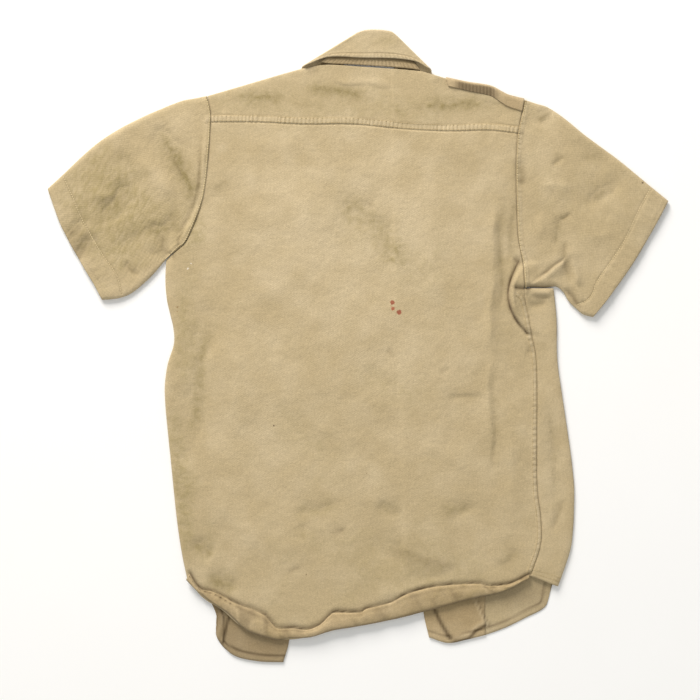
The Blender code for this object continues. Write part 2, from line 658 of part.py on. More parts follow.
def build_sleeve(name, top, low, arm, cuff):
    """A flattened tube: along goes from the armhole to the cuff, rise from the lower fold to the upper."""
    cloth = Cloth(name)
    patch = Patch([low[0], top[0]], reverse(cuff), low, top)
    along = np.concatenate([[0.0, 0.5], np.linspace(1, 7, 8)]) * NEAR_ARMHOLE
    inner = arm.rows()[2:]
    rise = np.concatenate([FOLD_IN / arm.curve.length, inner, arm.fold_rows()])
    weight = np.concatenate([FOLD_WEIGHT, np.ones(len(inner)), FOLD_WEIGHT[::-1]])
    plan = patch.plan(along, rise)
    step = np.clip(along / NEAR_ARMHOLE, 0, 1)[None, :, None]
    near = patch.plan([NEAR_ARMHOLE], rise)
    seam = arm.curve.at(rise)
    seam += (np.array(low[0]) - seam[0]) * (1 - rise[:, None]) ** 8
    plan = np.where(step < 1, (1 - step) * seam[:, None] + step * near, plan)
    away = near[:, 0] - plan[:, 0]
    plan[:, 0] += away / np.linalg.norm(away, axis=1)[:, None] * SLEEVE_GAP
    upper = layered(plan, weight[:, None])
    lower = layered(plan, -weight[:, None])
    ring = np.concatenate([upper, lower[-2:0:-1], upper[:1]], axis=0)
    cloth.grid(ring)
    return cloth.finish("khaki_twill", CLOTH)


def build_hem():
    """The back's hem turned up onto it, made from the back's lowest points and moved out."""
    cloth = Cloth("hem_back")
    columns = np.concatenate([[0.02], np.linspace(0.06, 0.94, 18), [0.985]])
    rows = np.array([1.2, HEM_WIDTH * 0.5, HEM_WIDTH]) / BACK_LOW.left.length
    plan = BACK_LOW.plan(columns, rows)
    points = layered(plan, 1.0)
    narrow = np.ones(len(columns))
    narrow[[0, -1]] = HEM_NARROW
    points[..., :2] = plan[:1] + (plan - plan[:1]) * narrow[None, :, None]
    points[..., 2] += CLOTH + SEAM_GAP + HEM_RISE
    cloth.grid(points)
    return cloth.finish("khaki_twill_inside", CLOTH + 0.4)


def build_facing(name, plans, first, last):
    """A facing on the inside of a front: the front's own points beside its edge, moved out."""
    cloth = Cloth(name)
    for plan in plans:
        points = layered(plan[:, first:last], -1.0)
        points[..., 2] += CLOTH + SEAM_GAP
        cloth.grid(points)
    return cloth.finish("khaki_twill_inside", CLOTH)


def ribbon(reach, inset):
    """Lines across the collar's ribbon and their layer weights, turned round both slanting folds."""
    ends = [tuple(np.array(pair, dtype=float) for pair in
                  ((r.fold_across, r.fold_up), (r.edge_across, r.edge_up), (r.seam_across, r.seam_up)))
            for r in COLLAR]
    out = []
    for index, ruling in enumerate(COLLAR):
        line = ends[index]
        if ruling.layer != 0:
            out.append((*line, float(ruling.layer)))
            continue
        rising = 1 if COLLAR[index - 1].layer < COLLAR[index + 1].layer else -1
        for degrees in (-90, -52, -18, 18, 52, 90):
            angle = math.radians(degrees)
            other = ends[index + 1] if degrees > 0 else ends[index - 1]
            distance = inset + reach * (1 - math.cos(angle))
            moved = [end + (toward - end) / np.linalg.norm(toward - end) * distance
                     for end, toward in zip(line, other)]
            out.append((*moved, math.sin(angle) * rising))
    return out


def across_ribbon(start, end, distances, last):
    """Points on a line across the ribbon: some distances from its start, then even shares up to the last."""
    length = np.linalg.norm(end - start)
    first = [distance / length for distance in distances]
    even = np.linspace(first[-1], 1 - last / length, 4)[1:]
    return [start + (end - start) * share for share in first + list(even)]


def build_leaf():
    cloth = Cloth("collar_leaf")
    middle, half = (LEAF_HIGH + LEAF_LOW) / 2, (LEAF_HIGH - LEAF_LOW) / 2
    rows = []
    for fold, edge, _, weight in ribbon(LEAF_REACH, DOUBLE / 2):
        points = across_ribbon(fold, edge, (0.8, 2.2), 0.6)
        drops = [LEAF_DROP] + [1.0] * (len(points) - 1)
        rows.append([(*point, middle + half * weight * drop) for point, drop in zip(points, drops)])
    cloth.grid(np.array(rows))
    return cloth.finish("khaki_twill", DOUBLE)


def build_stand():
    cloth = Cloth("collar_stand")
    middle, half = (STAND_HIGH + STAND_LOW) / 2, (STAND_HIGH - STAND_LOW) / 2
    rows = []
    for fold, _, seam, weight in ribbon(STAND_REACH, DOUBLE + STAND_INSET):
        points = across_ribbon(fold, seam, (7.5,), 2.4)
        rows.append([(*point, middle + half * weight) for point in points])
    cloth.grid(np.array(rows))
    return cloth.finish("khaki_twill_inside", CLOTH)


def build_strap(name, from_left, shown):
    """A shoulder strap lying round the shoulder's fold, made from the yoke's points and moved out.

    It starts at the armhole; shown is how far its edge comes onto the upper side there.
    """
    cloth = Cloth(name)
    plan, folded, way_down = yoke_plan()
    numbers = np.flatnonzero(folded)
    half = [n for n in numbers if (plan[-1, n, 0] < 0) == from_left]
    half = half if from_left else half[::-1]
    run = np.linalg.norm(plan[-1, half] - plan[-1, half[0]], axis=1)
    chosen = [n for n, away in zip(half, run) if away <= STRAP_SHARE * run[-1]]
    out = CLOTH / 2 + SEAM_GAP + DOUBLE / 2
    angles = [-35, -62, -90] if shown <= 0 else [90, 62, 35, 0, -35, -62, -90]
    columns = []
    for order, n in enumerate(chosen):
        narrow = 1 - order / (len(chosen) - 1)
        column = []
        for degrees in angles:
            angle = math.radians(degrees)
            distance = FOLD_REACH * (1 - math.cos(angle))
            point = layered((plan[-1, n] + way_down[n] * distance)[None], math.sin(angle))[0]
            normal = np.array([-STRAP_BULGE * math.cos(angle), FOLD_REACH * math.sin(angle)])
            normal *= out / np.linalg.norm(normal)
            point[:2] += way_down[n] * normal[0]
            point[2] += normal[1]
            column.append(point)
        if shown > 0:
            flat = layered((plan[-1, n] + way_down[n] * (FOLD_REACH + 1 + shown * narrow))[None], 1.0)[0]
            flat[2] += out
            column.insert(0, flat)
        full = STRAP_ROUNDED if order == len(chosen) - 1 else 1.0
        for share in (STRAP_MIDDLE, full):
            flat = layered((plan[-1, n] + way_down[n] * STRAP_WIDTH * share)[None], -1.0)[0]
            flat[2] -= out
            column.append(flat)
        columns.append(column)
    cloth.grid(np.array(columns))
    return cloth.finish("khaki_twill", DOUBLE)


def build_button(name, spot):
    """A flat button with a raised rim, its face to the table."""
    mesh = bmesh.new()
    profile = [(0.0, 0.5), (3.6, 0.5), (4.3, 0.0), (5.3, 0.0), (BUTTON_RADIUS, 0.6),
               (BUTTON_RADIUS, 1.4), (4.4, BUTTON_THICK), (0.0, BUTTON_THICK)]
    verts = [mesh.verts.new((radius * MM, 0, height * MM)) for radius, height in profile]
    edges = [mesh.edges.new(pair) for pair in zip(verts, verts[1:])]
    bmesh.ops.spin(mesh, geom=verts + edges, cent=(0, 0, 0), axis=(0, 0, 1), angle=2 * math.pi,
                   steps=BUTTON_SIDES, use_duplicate=False)
    bmesh.ops.remove_doubles(mesh, verts=mesh.verts, dist=0.01 * MM)
    bmesh.ops.recalc_face_normals(mesh, faces=mesh.faces)
    item = add_object(name, mesh, "brown_button")
    item.location = (spot[0] * MM, spot[1] * MM, 0)
    return item


def recentre():
    """Put the outline's middle over the origin and its lowest point on the floor."""
    bpy.context.view_layer.update()
    shapes = bpy.context.evaluated_depsgraph_get()
    corners = []
    for item in bpy.context.collection.objects:
        whole = item.evaluated_get(shapes)
        corners += [whole.matrix_world @ vert.co for vert in whole.data.vertices]
    low = Vector([min(corner[axis] for corner in corners) for axis in range(3)])
    high = Vector([max(corner[axis] for corner in corners) for axis in range(3)])
    shift = Vector((-(low.x + high.x) / 2, -(low.y + high.y) / 2, -low.z))
    for item in bpy.context.collection.objects:
        item.matrix_world = Matrix.Translation(shift) @ item.matrix_world


def main():
    for item in list(bpy.data.objects):
        bpy.data.objects.remove(item, do_unlink=True)
    build_back()
    build_yoke()
    build_front_left()
    build_front_right()
    build_facing("facing_left", front_left_plan(), -len(FACING_SHARES), None)
    build_facing("facing_right", front_right_plan(), 0, len(FACING_SHARES))
    build_sleeve("sleeve_left", LEFT_SLEEVE_TOP, LEFT_SLEEVE_LOW, LEFT_ARM, LEFT_CUFF)
    build_sleeve("sleeve_right", RIGHT_SLEEVE_TOP, RIGHT_SLEEVE_LOW, RIGHT_ARM, RIGHT_CUFF)
    build_hem()
    build_leaf()
    build_stand()
    build_strap("strap_left", True, 0.0)
    build_strap("strap_right", False, 5.0)
    for number, spot in enumerate(front_button_spots(), start=1):
        build_button(f"button_front_{number}", spot)
    recentre()


main()
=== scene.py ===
"""Short-sleeved khaki service shirt laid flat with its back up: the looks of every sewn piece.

Each piece of cloth is a thin closed shell on the form of its solid, with the seams, gathers, folds and
fading of a shirt that has been worn and washed for years, and with shade and highlights painted into
its colour. The tables are in millimetres: across is +X (the wearer's right), up is +Y (towards the
collar), and heights are above the table.
"""

import logging
import math
from dataclasses import dataclass, field
from enum import Enum
from typing import NamedTuple, Sequence

import bmesh
import bpy
import numpy as np
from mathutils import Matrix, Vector


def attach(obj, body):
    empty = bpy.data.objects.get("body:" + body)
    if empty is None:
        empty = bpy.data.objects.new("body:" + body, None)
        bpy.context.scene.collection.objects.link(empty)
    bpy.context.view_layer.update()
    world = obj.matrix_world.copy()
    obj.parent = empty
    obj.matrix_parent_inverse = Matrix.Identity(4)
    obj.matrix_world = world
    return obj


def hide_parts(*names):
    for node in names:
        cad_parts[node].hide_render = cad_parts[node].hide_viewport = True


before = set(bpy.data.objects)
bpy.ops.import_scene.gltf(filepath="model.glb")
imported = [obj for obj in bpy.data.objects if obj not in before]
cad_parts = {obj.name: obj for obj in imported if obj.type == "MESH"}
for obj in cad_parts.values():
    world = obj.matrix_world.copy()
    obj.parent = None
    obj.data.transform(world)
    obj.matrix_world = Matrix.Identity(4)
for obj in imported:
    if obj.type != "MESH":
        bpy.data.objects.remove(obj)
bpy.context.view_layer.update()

LOG = logging.getLogger("shirt")

MM = 0.001
# Cloth, and the room between pieces.
CLOTH = 1.0                 # twill wall
DOUBLE = 1.6                # two cloths and what stiffens them
SEAM_GAP = 0.3              # room between pieces that lie on each other or meet in a seam
HALF_GAP = SEAM_GAP / 2
UNDER_GAP = 2.8             # how far the fronts end short of the yoke, under the shoulders
NECK_EASE = 0.5             # how far a front keeps from the collar along its slanting neckline
SLEEVE_GAP = 0.6            # room between a sleeve and the body
FLOOR_LAYER = CLOTH / 2     # middle of the cloth that rests on the table
TOP_LAYER = 5.4             # middle of the upper cloth
LEAST_CLEAR = 2.0 * CLOTH + 2 * SEAM_GAP + 0.2      # from the lower cloth's middle to the upper's
# Folds.
FOLD_REACH = 9.0            # how far in from a fold its cloth is still curving
SIDE_WRAP = 20.0            # how far the back goes round the left side's fold
SHOULDER_WRAP = 22.0        # how far the yoke goes round the shoulders' folds
NEAR_ARMHOLE = 1 / 7        # share of a sleeve in which it still follows its armhole
# Where the lower cloth is raised over the collar's wings and the straps.
CHEST_LIFT = DOUBLE + SEAM_GAP
CHEST_MIDDLE = 10.0
CHEST_HALF = 214.0
CHEST_FADE = 44.0           # width of its flanks
CHEST_FROM = 176.0
# Where it is raised over the buttons.
BAND_FROM = -330.0
EDGE_BAND = 30.0            # to either side of the buttoning edge
# Straps, buttons and facings.
STRAP_WIDTH = 44.0
STRAP_SHARE = 0.78          # how much of its shoulder a strap covers
BUTTON_RADIUS = 5.7
BUTTON_THICK = 2.2
FRONT_BUTTONS = 6
BUTTON_FROM_EDGE = 14.0
BUTTON_PITCH = 88.0
FACING_SHARES = np.array([0.0, 0.34, 0.67, 1.0])    # columns across a facing
LEFT_FACING_WIDTH = 82.0
RIGHT_FACING_WIDTH = 70.0

PHOTO_MIDDLE = (-10.1, -4.8)   # where the camera looks straight down
PHOTO_WIDTH = 927.5            # what the square frame takes in, in millimetres


class Spot(NamedTuple):
    """A place on the plan, in millimetres."""

    across: float
    up: float


def spots(*pairs: tuple[float, float]) -> list[Spot]:
    """Pairs of numbers as places on the plan."""
    return [Spot(*pair) for pair in pairs]


LEFT_SIDE = spots((-254, 114), (-255, 88), (-253, 62), (-244, 22), (-244, 2), (-252, -24), (-256, -56),
                  (-254, -90), (-248, -150), (-240, -227), (-233, -274), (-226, -308))
RIGHT_SIDE = spots((260, 77), (264, 36), (265, -18), (272, -69), (281, -130), (287, -182), (287, -217),
                   (283, -267), (266, -318))
SIDE_SEAM = spots((221, 77), (223, 55), (231, 14), (236, -10), (238, -64), (238, -177), (243, -225),
                  (243, -262), (229, -304))
BACK_HEM = spots((-226, -308), (-206, -332), (-174, -353), (-154, -371), (-137, -379), (-103, -388),
                 (-59, -384), (-23, -373), (43, -362), (100, -347), (157, -332), (197, -320), (229, -304))
LEFT_ARMHOLE = spots((-254, 114), (-237, 130), (-226, 141), (-208, 184), (-202, 210), (-198, 242),
                     (-194, 297), (-195, 315), (-199, 332))
RIGHT_ARMHOLE = spots((221, 77), (219, 109), (213, 140), (210, 211), (210, 250), (212, 282), (217, 305),
                      (221, 327))
YOKE_SEAM = spots((-194, 297), (-134, 297), (-70, 294), (-7, 294), (70, 287), (125, 285), (173, 286),
                  (212, 282))
LEFT_SHOULDER = spots((-199, 332), (-134, 351), (-100, 361), (-62, 371))
RIGHT_SHOULDER = spots((88, 364), (119, 355), (148, 349), (177, 344), (198, 333), (221, 327))
NECK = spots((-62, 371), (-38, 373.5), (-4, 371.5), (48, 368), (72, 366), (88, 364))
LEFT_SLEEVE_TOP = spots((-199, 332), (-235, 325), (-300, 297), (-347, 268), (-384, 234), (-411, 209))
LEFT_CUFF = spots((-411, 209), (-393, 160), (-369, 115), (-347, 78), (-339, 62))
LEFT_SLEEVE_LOW = spots((-255.5, 115.5), (-272, 95), (-298, 72), (-317, 64), (-339, 62))
RIGHT_SLEEVE_TOP = spots((221, 327), (258, 314), (304, 278), (345, 248), (391, 210), (412, 193))
RIGHT_CUFF = spots((412, 193), (391, 154), (363, 107), (330, 61), (312, 39))
RIGHT_SLEEVE_LOW = spots((221, 79), (248, 78), (268, 78), (280, 60), (300, 42), (312, 39))
LEFT_FRONT_EDGE = spots((-96, 269), (-94, 100), (-92, -100), (-91, -386), (-99, -419))
LEFT_NECKLINE = spots((-62, 371), (-79, 320), (-93, 278), (-96, 269))
LEFT_TAIL = spots((-207, -316), (-196, -338), (-186, -362), (-186, -392), (-170, -407), (-137, -417),
                  (-99, -419))
RIGHT_FRONT_EDGE = spots((68, 243), (74, 60), (82, -150), (88, -353), (95, -386))
RIGHT_NECKLINE = spots((88, 364), (78, 303.5), (69.5, 252), (68, 243))
RIGHT_TAIL = spots((95, -386), (125, -394), (148, -388), (185, -378), (229, -357), (250, -344), (257, -316))
CHEST = spots((-254, 114), (-100, 102), (80, 88), (221, 77))

# The turned-up hem of the back, as it lies: its upper edge and its lower, rolled one.
HEM_UPPER = spots((-223, -302), (-215, -316), (-207, -323), (-194, -325), (-180, -331), (-164, -340),
                  (-148, -346), (-137, -350), (-123, -357), (-114, -367), (-106, -374), (-84, -374),
                  (-68, -376), (-51, -370), (-37, -357), (-29, -353), (3, -353), (12, -348), (43, -340),
                  (64, -329), (91, -321), (117, -317), (159, -315), (174, -318), (202, -315), (227, -303))
HEM_LOWER = spots((-227, -309), (-209, -327), (-187, -343), (-172, -353), (-153, -371), (-140, -379),
                  (-107, -388), (-90, -386), (-78, -386), (-59, -384), (-34, -376), (3, -370), (49, -361),
                  (85, -352), (101, -348), (125, -341), (159, -332), (190, -325), (227, -308))

SIDE_SEAM_LINE = spots((212, 73), (220, 65), (226, 44), (231, 14), (236, -9), (238, -39), (238, -177),
                       (243, -225), (243, -262), (230, -302))
LEFT_SLEEVE_HEM = spots((-390, 225), (-380, 203), (-364, 166), (-340, 124), (-326, 105), (-318, 91),
                        (-313, 70))
RIGHT_SLEEVE_HEM = spots((388, 209), (373, 181), (357, 146), (341, 120), (318, 87), (312, 71), (304, 61),
                         (291, 55))


class Ruling(NamedTuple):
    """A line across the collar's ribbon, from its fold to the leaf's edge, with where it meets the neck.

    The layer is 1 above, -1 underneath, and 0 on the slanting folds at the collar's two ends.
    """

    fold: Spot
    edge: Spot
    seam: Spot
    layer: int


COLLAR = [
    Ruling(Spot(-68, 258), Spot(-142, 272), Spot(-96, 269), -1),
    Ruling(Spot(-50, 300), Spot(-122, 305), Spot(-87, 296), -1),
    Ruling(Spot(-27, 354), Spot(-96, 343), Spot(-74, 335), -1),
    Ruling(Spot(-1, 415), Spot(-73, 371), Spot(-55, 376), 0),
    Ruling(Spot(12, 419), Spot(-40, 383), Spot(-38, 373.5), 1),
    Ruling(Spot(24, 420), Spot(5, 382), Spot(-4, 371.5), 1),
    Ruling(Spot(36, 419), Spot(50, 381), Spot(48, 368), 1),
    Ruling(Spot(44, 417), Spot(78, 377), Spot(72, 366), 1),
    Ruling(Spot(52, 411), Spot(98, 366), Spot(88, 364), 0),
    Ruling(Spot(48, 366), Spot(103, 330), Spot(83, 334), -1),
    Ruling(Spot(42, 300), Spot(107, 272), Spot(76, 291), -1),
    Ruling(Spot(38, 244), Spot(109, 224), Spot(68, 243), -1),
]


class Edge(Enum):
    """How a fold's flank falls away from its line: the power of its fall, and how steep it is."""

    SOFT = (1.45, 1.15)
    CRISP = (1.0, 1.5)
    SEWN = (1.4, 1.5)    # a fold that follows sewing or a hem, so it keeps to its spots


@dataclass(frozen=True)
class Crease:
    """A soft trough or ridge, or a crisp fold, that runs through some spots.

    Attributes:
        path: Spots that its line runs through.
        height: Height of the line over the cloth's level, below nought for a trough, in millimetres.
        left: Reach of the flank on the left of the run, in millimetres.
        right: Reach of the flank on the right of the run.
        olive: How much olive is mixed in: partly the cloth's own unbleached colour, partly painted shade in a
            hollow.
        shade: How much painted shade it holds.
        edge: How the flanks fall away, and whether its run wanders.
        faded_ends: Whether it dies away at both ends.
    """

    path: tuple[tuple[float, float], ...]
    height: float
    left: float
    right: float
    olive: float = 0.0
    shade: float = 0.0
    edge: Edge = Edge.SOFT
    faded_ends: bool = True


@dataclass(frozen=True)
class Seam:
    """A sewn line with the doubled allowance beside it and the little gathers that its stitches pull.

    Attributes:
        path: Spots that the line runs through.
        groove: Depth of the line.
        ridge: Height of the doubled cloth beside it.
        start: Where the doubled cloth starts, to the left of the run if above nought.
        end: Where the doubled cloth ends.
        gather: Height of the gathers over the doubled cloth.
        pitch: Distance from gather to gather.
    """

    path: tuple[tuple[float, float], ...]
    groove: float
    ridge: float
    start: float
    end: float
    gather: float
    pitch: float


BACK_CREASES = [
    Crease(((183, 194), (178, 85)), 1.3, 9, 11),
    Crease(((179, 110), (175, -18)), 1.5, 8, 10),
    Crease(((175, 10), (177, -177)), 1.1, 7, 9),
    Crease(((193, 207), (191, 134), (193, 72), (189, 22)), -1.2, 9, 8, 0.40, 0.18),
    Crease(((207, 201), (205, 141), (201, 95)), -0.8, 9, 9, 0.30, 0.20),
    Crease(((182, -18), (182, -98), (180, -184)), -0.8, 7, 9, 0.25, 0.12),
    Crease(((-200, 40), (-216, -70)), -1.6, 16, 16, faded_ends=False),
    Crease(((-216, -70), (-229, -145)), -1.5, 14, 14, faded_ends=False),
    Crease(((-197, 50), (-192, 38), (-204, 3), (-213, -39), (-216, -90), (-229, -144)),
           -0.6, 10, 8, 0.7, 0.12),
    Crease(((-6, 177), (36, 146), (52, 118)), -1.5, 20, 20, 0.6, 0.05, faded_ends=False),
    Crease(((19, -211), (43, -217), (65, -215)), -1.3, 12, 9, 0.45, 0.10),
    Crease(((104, -213), (129, -217), (159, -213)), -1.3, 11, 8, 0.45, 0.10),
    Crease(((33, -264), (108, -290)), -1.3, 16, 16, 0.3, faded_ends=False),
    Crease(((27, -260), (69, -276), (112, -291), (149, -296)), -1.0, 6, 12, 0.5, 0.22),
    Crease(((-217, -257), (-204, -272), (-192, -280)), -1.6, 16, 12, 0.75, 0.10),
    Crease(((-201, -299), (-177, -315), (-155, -327)), -1.5, 14, 11, 0.8, 0.15),
    Crease(((-38, -247), (-11, -242)), -0.8, 3.5, 5, 0.1, 0.45, Edge.CRISP),
    Crease(((-98, -298), (-76, -288)), -0.7, 3.5, 5, 0.1, 0.35, Edge.CRISP),
    Crease(((38, -1), (51, -13)), -0.7, 4, 5, 0.1, 0.30, Edge.CRISP),
    Crease(((105, -31), (124, -30)), -0.7, 4, 4, 0.1, 0.25, Edge.CRISP),
    Crease(((220, -5), (236, -9)), -0.8, 4, 5, 0.1, 0.35, Edge.CRISP),
    Crease(((-90, -219), (-50, -217), (-17, -204)), -1.0, 11, 11, 0.5, 0.05),
    Crease(((-76, -230), (-72, -263)), -0.7, 11, 11, 0.35),
    Crease(((-198, 206), (-182, 217), (-165, 226)), -1.2, 5, 6, 0.5, 0.25, Edge.CRISP),
    Crease(((4, 191), (24, 189)), -0.8, 3.5, 6, 0.3, 0.30, Edge.CRISP),
    Crease(((104, -68), (138, -67), (178, -70)), -0.9, 4, 10, 0.2, 0.16, Edge.CRISP),
    Crease(((-150, 20), (-158, -60), (-150, -140)), 0.9, 26, 22),
    Crease(((-60, 240), (-72, 150), (-60, 60)), 0.8, 30, 30),
    Crease(((110, 230), (95, 120), (108, 20)), 0.8, 26, 30),
    Crease(((-20, -20), (60, -60), (120, -50)), -0.8, 22, 20, 0.25),
    Crease(((-120, -60), (-60, -130), (0, -150)), -0.8, 22, 22, 0.25),
    Crease(((60, -120), (130, -150), (160, -190)), 0.8, 20, 20),
    Crease(((-210, -200), (-160, -230), (-120, -280)), 0.9, 16, 22),
    Crease(((200, -80), (206, -180), (200, -260)), 0.8, 14, 12),
    Crease(((252, -60), (262, -130), (262, -220)), -1.0, 9, 8, 0.25, 0.12),
    Crease(((257, -251), (268, -224), (276, -200)), -1.2, 6, 5, 0.2, 0.25),
    Crease(((0, -330), (80, -322), (160, -300)), 0.9, 12, 16),
    Crease(((180, -300), (200, -286), (214, -262)), -1.0, 9, 12, 0.35, 0.15),
]
YOKE_CREASES = [
    Crease(((-176, 331), (-88, 331)), -1.3, 14, 14, faded_ends=False),
    Crease(((-83, 342), (30, 328)), -1.3, 13, 13, faded_ends=False),
    Crease(((63, 306), (190, 311)), -1.3, 13, 13, faded_ends=False),
    Crease(((-176, 330), (-132, 328), (-84, 332)), -1.1, 9, 11, 0.95, 0.12),
    Crease(((-83, 343), (-30, 340), (10, 332), (30, 324)), -1.2, 8, 9, 0.95, 0.15),
    Crease(((63, 307), (100, 318), (121, 321), (158, 320), (190, 312)), -1.2, 10, 8, 0.95, 0.15),
    Crease(((40, 329), (59, 307), (49, 297)), -0.8, 10, 10, 0.5, 0.05),
    Crease(((-72, 362), (-58, 365), (-43, 370)), -0.8, 5, 3.5, 0.1, 0.25, Edge.CRISP),
    Crease(((-116, 353), (-98, 358)), -0.7, 4, 3.5, 0.1, 0.30, Edge.CRISP),
    Crease(((99, 358), (116, 350), (125, 340)), -0.9, 5, 6, 0.3, 0.22),
    Crease(((-92, 317), (-50, 321), (-10, 316)), -0.7, 6, 6, 0.35, 0.05),
    Crease(((-60, 352), (0, 350), (60, 345)), 0.8, 9, 9),
]
SLEEVE_CREASES = [
    Crease(((-259, 279), (-220, 208)), -2.0, 18, 18, faded_ends=False),
    Crease(((-220, 208), (-224, 174)), -1.6, 14, 14, faded_ends=False),
    Crease(((-304, 207), (-332, 174)), -1.4, 18, 18, faded_ends=False),
    Crease(((-384, 141), (-365, 163)), -1.6, 9, 9, faded_ends=False),
    Crease(((-369, 116), (-355, 141)), -1.6, 9, 9, faded_ends=False),
    Crease(((-260, 155), (-257, 114)), -1.6, 8, 8, faded_ends=False),
    Crease(((230, 82), (283, 118)), 2.0, 10, 10, faded_ends=False),
    Crease(((311, 193), (340, 211)), -1.4, 16, 16, faded_ends=False),
    Crease(((237, 299), (257, 311)), -1.2, 10, 10, faded_ends=False),
    Crease(((-275, 289), (-257, 276), (-235, 242), (-220, 209), (-224, 174)), -2.0, 8, 13, 1.0, 0.20),
    Crease(((-336, 167), (-322, 191), (-303, 213)), -0.8, 14, 14, 0.8, 0.08),
    Crease(((-386, 140), (-375, 152), (-364, 165)), -1.2, 4, 7, 0.3, 0.40, Edge.CRISP),
    Crease(((-372, 114), (-363, 129), (-352, 144)), -1.2, 6, 4, 0.3, 0.40, Edge.CRISP),
    Crease(((-259, 158), (-261, 130), (-257, 114)), -0.8, 4, 6, 0.3, 0.35, Edge.CRISP),
    Crease(((-308, 117), (-298, 99), (-286, 92)), -1.4, 5, 6, 0.4, 0.30, Edge.CRISP),
    Crease(((-231, 187), (-245, 167), (-258, 146)), -1.2, 6, 8, 0.6, 0.15),
    Crease(((-275, 170), (-267, 157), (-265, 141)), -0.9, 5, 6, 0.4, 0.15),
    Crease(((-202, 292), (-203.5, 250), (-206.5, 205), (-220, 163), (-243, 130)), 1.5, 3.5, 3.5,
           edge=Edge.SEWN),
    Crease(((-207, 292), (-209, 250), (-213, 205), (-229, 165), (-252, 132)), -1.5, 3.2, 3.2,
           0.6, 0.50, Edge.SEWN),
    Crease(((-328, 260), (-304, 240), (-288, 207)), -1.0, 14, 14, 0.6, 0.05),
    Crease(((-360, 207), (-336, 199), (-312, 207)), 1.0, 10, 12),
    Crease(((-275, 157), (-302, 141), (-328, 133)), -1.0, 10, 12, 0.5, 0.08),
    Crease(((-290, 250), (-262, 222), (-246, 190)), 1.0, 12, 12),
    Crease(((230, 83), (246, 98), (267, 111), (283, 118)), -1.9, 5, 3.5, 0.2, 0.55, Edge.CRISP),
    Crease(((234, 296), (246, 304), (259, 311)), -1.0, 4, 6, 0.4, 0.35, Edge.CRISP),
    Crease(((254, 236), (263, 244), (273, 252)), -1.0, 5, 6, 0.4, 0.25, Edge.CRISP),
    Crease(((308, 189), (325, 202), (345, 213)), -1.0, 7, 9, 0.4, 0.20),
    Crease(((268, 167), (276, 171), (285, 178)), -1.1, 4.5, 6, 0.3, 0.35, Edge.CRISP),
    Crease(((212, 252), (218, 231), (214, 207)), -1.4, 7, 7, 0.3, 0.50),
    Crease(((263, 178), (268, 152), (258, 125)), -1.0, 10, 8, 0.3, 0.15),
    Crease(((277, 144), (276, 112), (287, 83)), -1.4, 8, 8, 0.3, 0.30),
    Crease(((283, 117), (293, 99), (296, 77)), 1.4, 6, 6, 0.0, 0.0),
    Crease(((240, 210), (262, 214), (285, 206)), 0.9, 9, 9),
    Crease(((300, 140), (322, 150), (345, 146)), 0.8, 12, 12),
    Crease(((290, 240), (312, 250), (338, 240)), -0.8, 14, 14, 0.35, 0.1),
    Crease(((240, 140), (246, 158), (240, 180)), 0.8, 8, 8),
    Crease(((271, 79), (284, 67), (292, 55), (299, 46)), -1.8, 4.5, 4.5, 0.0, 0.95, Edge.SEWN),
    Crease(((286, 84), (294, 70), (299, 57)), 1.2, 2.6, 2.6, 0.0, 0.0, Edge.SEWN),
    Crease(((-240, 108), (-246, 120), (-262, 126), (-276, 118)), -1.3, 4, 5, 0.4, 0.55, Edge.CRISP),
    Crease(((-232, 118), (-238, 140), (-230, 158)), -1.2, 4, 5, 0.5, 0.40, Edge.CRISP),
    Crease(((-226, 150), (-248, 160), (-268, 154), (-286, 158)), -1.0, 6, 9, 0.8, 0.15),
    Crease(((-340, 164), (-326, 182), (-308, 204), (-296, 216)), -1.3, 10, 12, 0.9, 0.10),
    Crease(((-248, 262), (-238, 236), (-228, 214)), -1.2, 4, 6, 0.6, 0.35, Edge.CRISP),
]
# The pleat at the right armpit and the sleeve's edge beside it: the lines with shade are painted shadow along
# the pleat's outline and under the sleeve.
PLEAT_CREASES = [
    Crease(((214, 114), (207, 99), (201, 82), (199.5, 66), (203, 50), (211, 34), (225, 17)),
           -1.4, 2.4, 2.4, 0.1, 1.0, Edge.SEWN, faded_ends=False),
    Crease(((215, 106), (208, 84), (206, 66), (209, 50), (217, 35)), 1.0, 2.6, 2.6, 0.0, 0.0, Edge.SEWN),
    Crease(((209, 78), (217, 77), (227, 77)), -2.0, 4, 4, 0.0, 1.0, Edge.SEWN, faded_ends=False),
    Crease(((226, 72), (243, 71), (261, 72)), 1.6, 3.5, 3.5, 0.0, 0.0, Edge.SEWN),
    Crease(((228, 79), (243, 79), (262, 79)), -1.2, 2.4, 2.4, 0.0, 0.8, Edge.SEWN, faded_ends=False),
    Crease(((229, 65), (243, 64), (259, 66)), -0.8, 2.4, 2.4, 0.1, 0.45, Edge.SEWN),
    Crease(((205, 118), (213, 112), (216, 106)), -1.4, 4, 5, 0.2, 0.7, Edge.SEWN),
    Crease(((222, 58), (236, 56), (256, 60)), -1.0, 6, 5, 0.2, 0.20),
]

# Folds and the facing's edge on the inside of the two tails: the lines with shade are painted shadow,
# and the raised ones carry a painted highlight.
TAIL_FOLDS = [
    Crease(((-169, -352), (-174, -372), (-179, -394)), 0.0, 2.6, 2.6, shade=0.9),
    Crease(((-178, -356), (-184, -376), (-188, -392)), 0.8, 2.4, 2.4),
    Crease(((100, -344), (110, -366), (123, -387)), 0.0, 2.8, 2.8, shade=0.85),
    Crease(((154, -332), (162, -352), (173, -371)), 0.9, 1.8, 1.8),
    Crease(((157, -332), (165, -352), (176, -371)), 0.0, 1.6, 1.6, shade=0.5),
    Crease(((127, -392), (146, -388), (158, -377), (170, -370)), 0.0, 2.2, 2.2, shade=0.8),
    Crease(((129, -387), (147, -382), (156, -373), (168, -366)), 0.8, 2.2, 2.2),
]
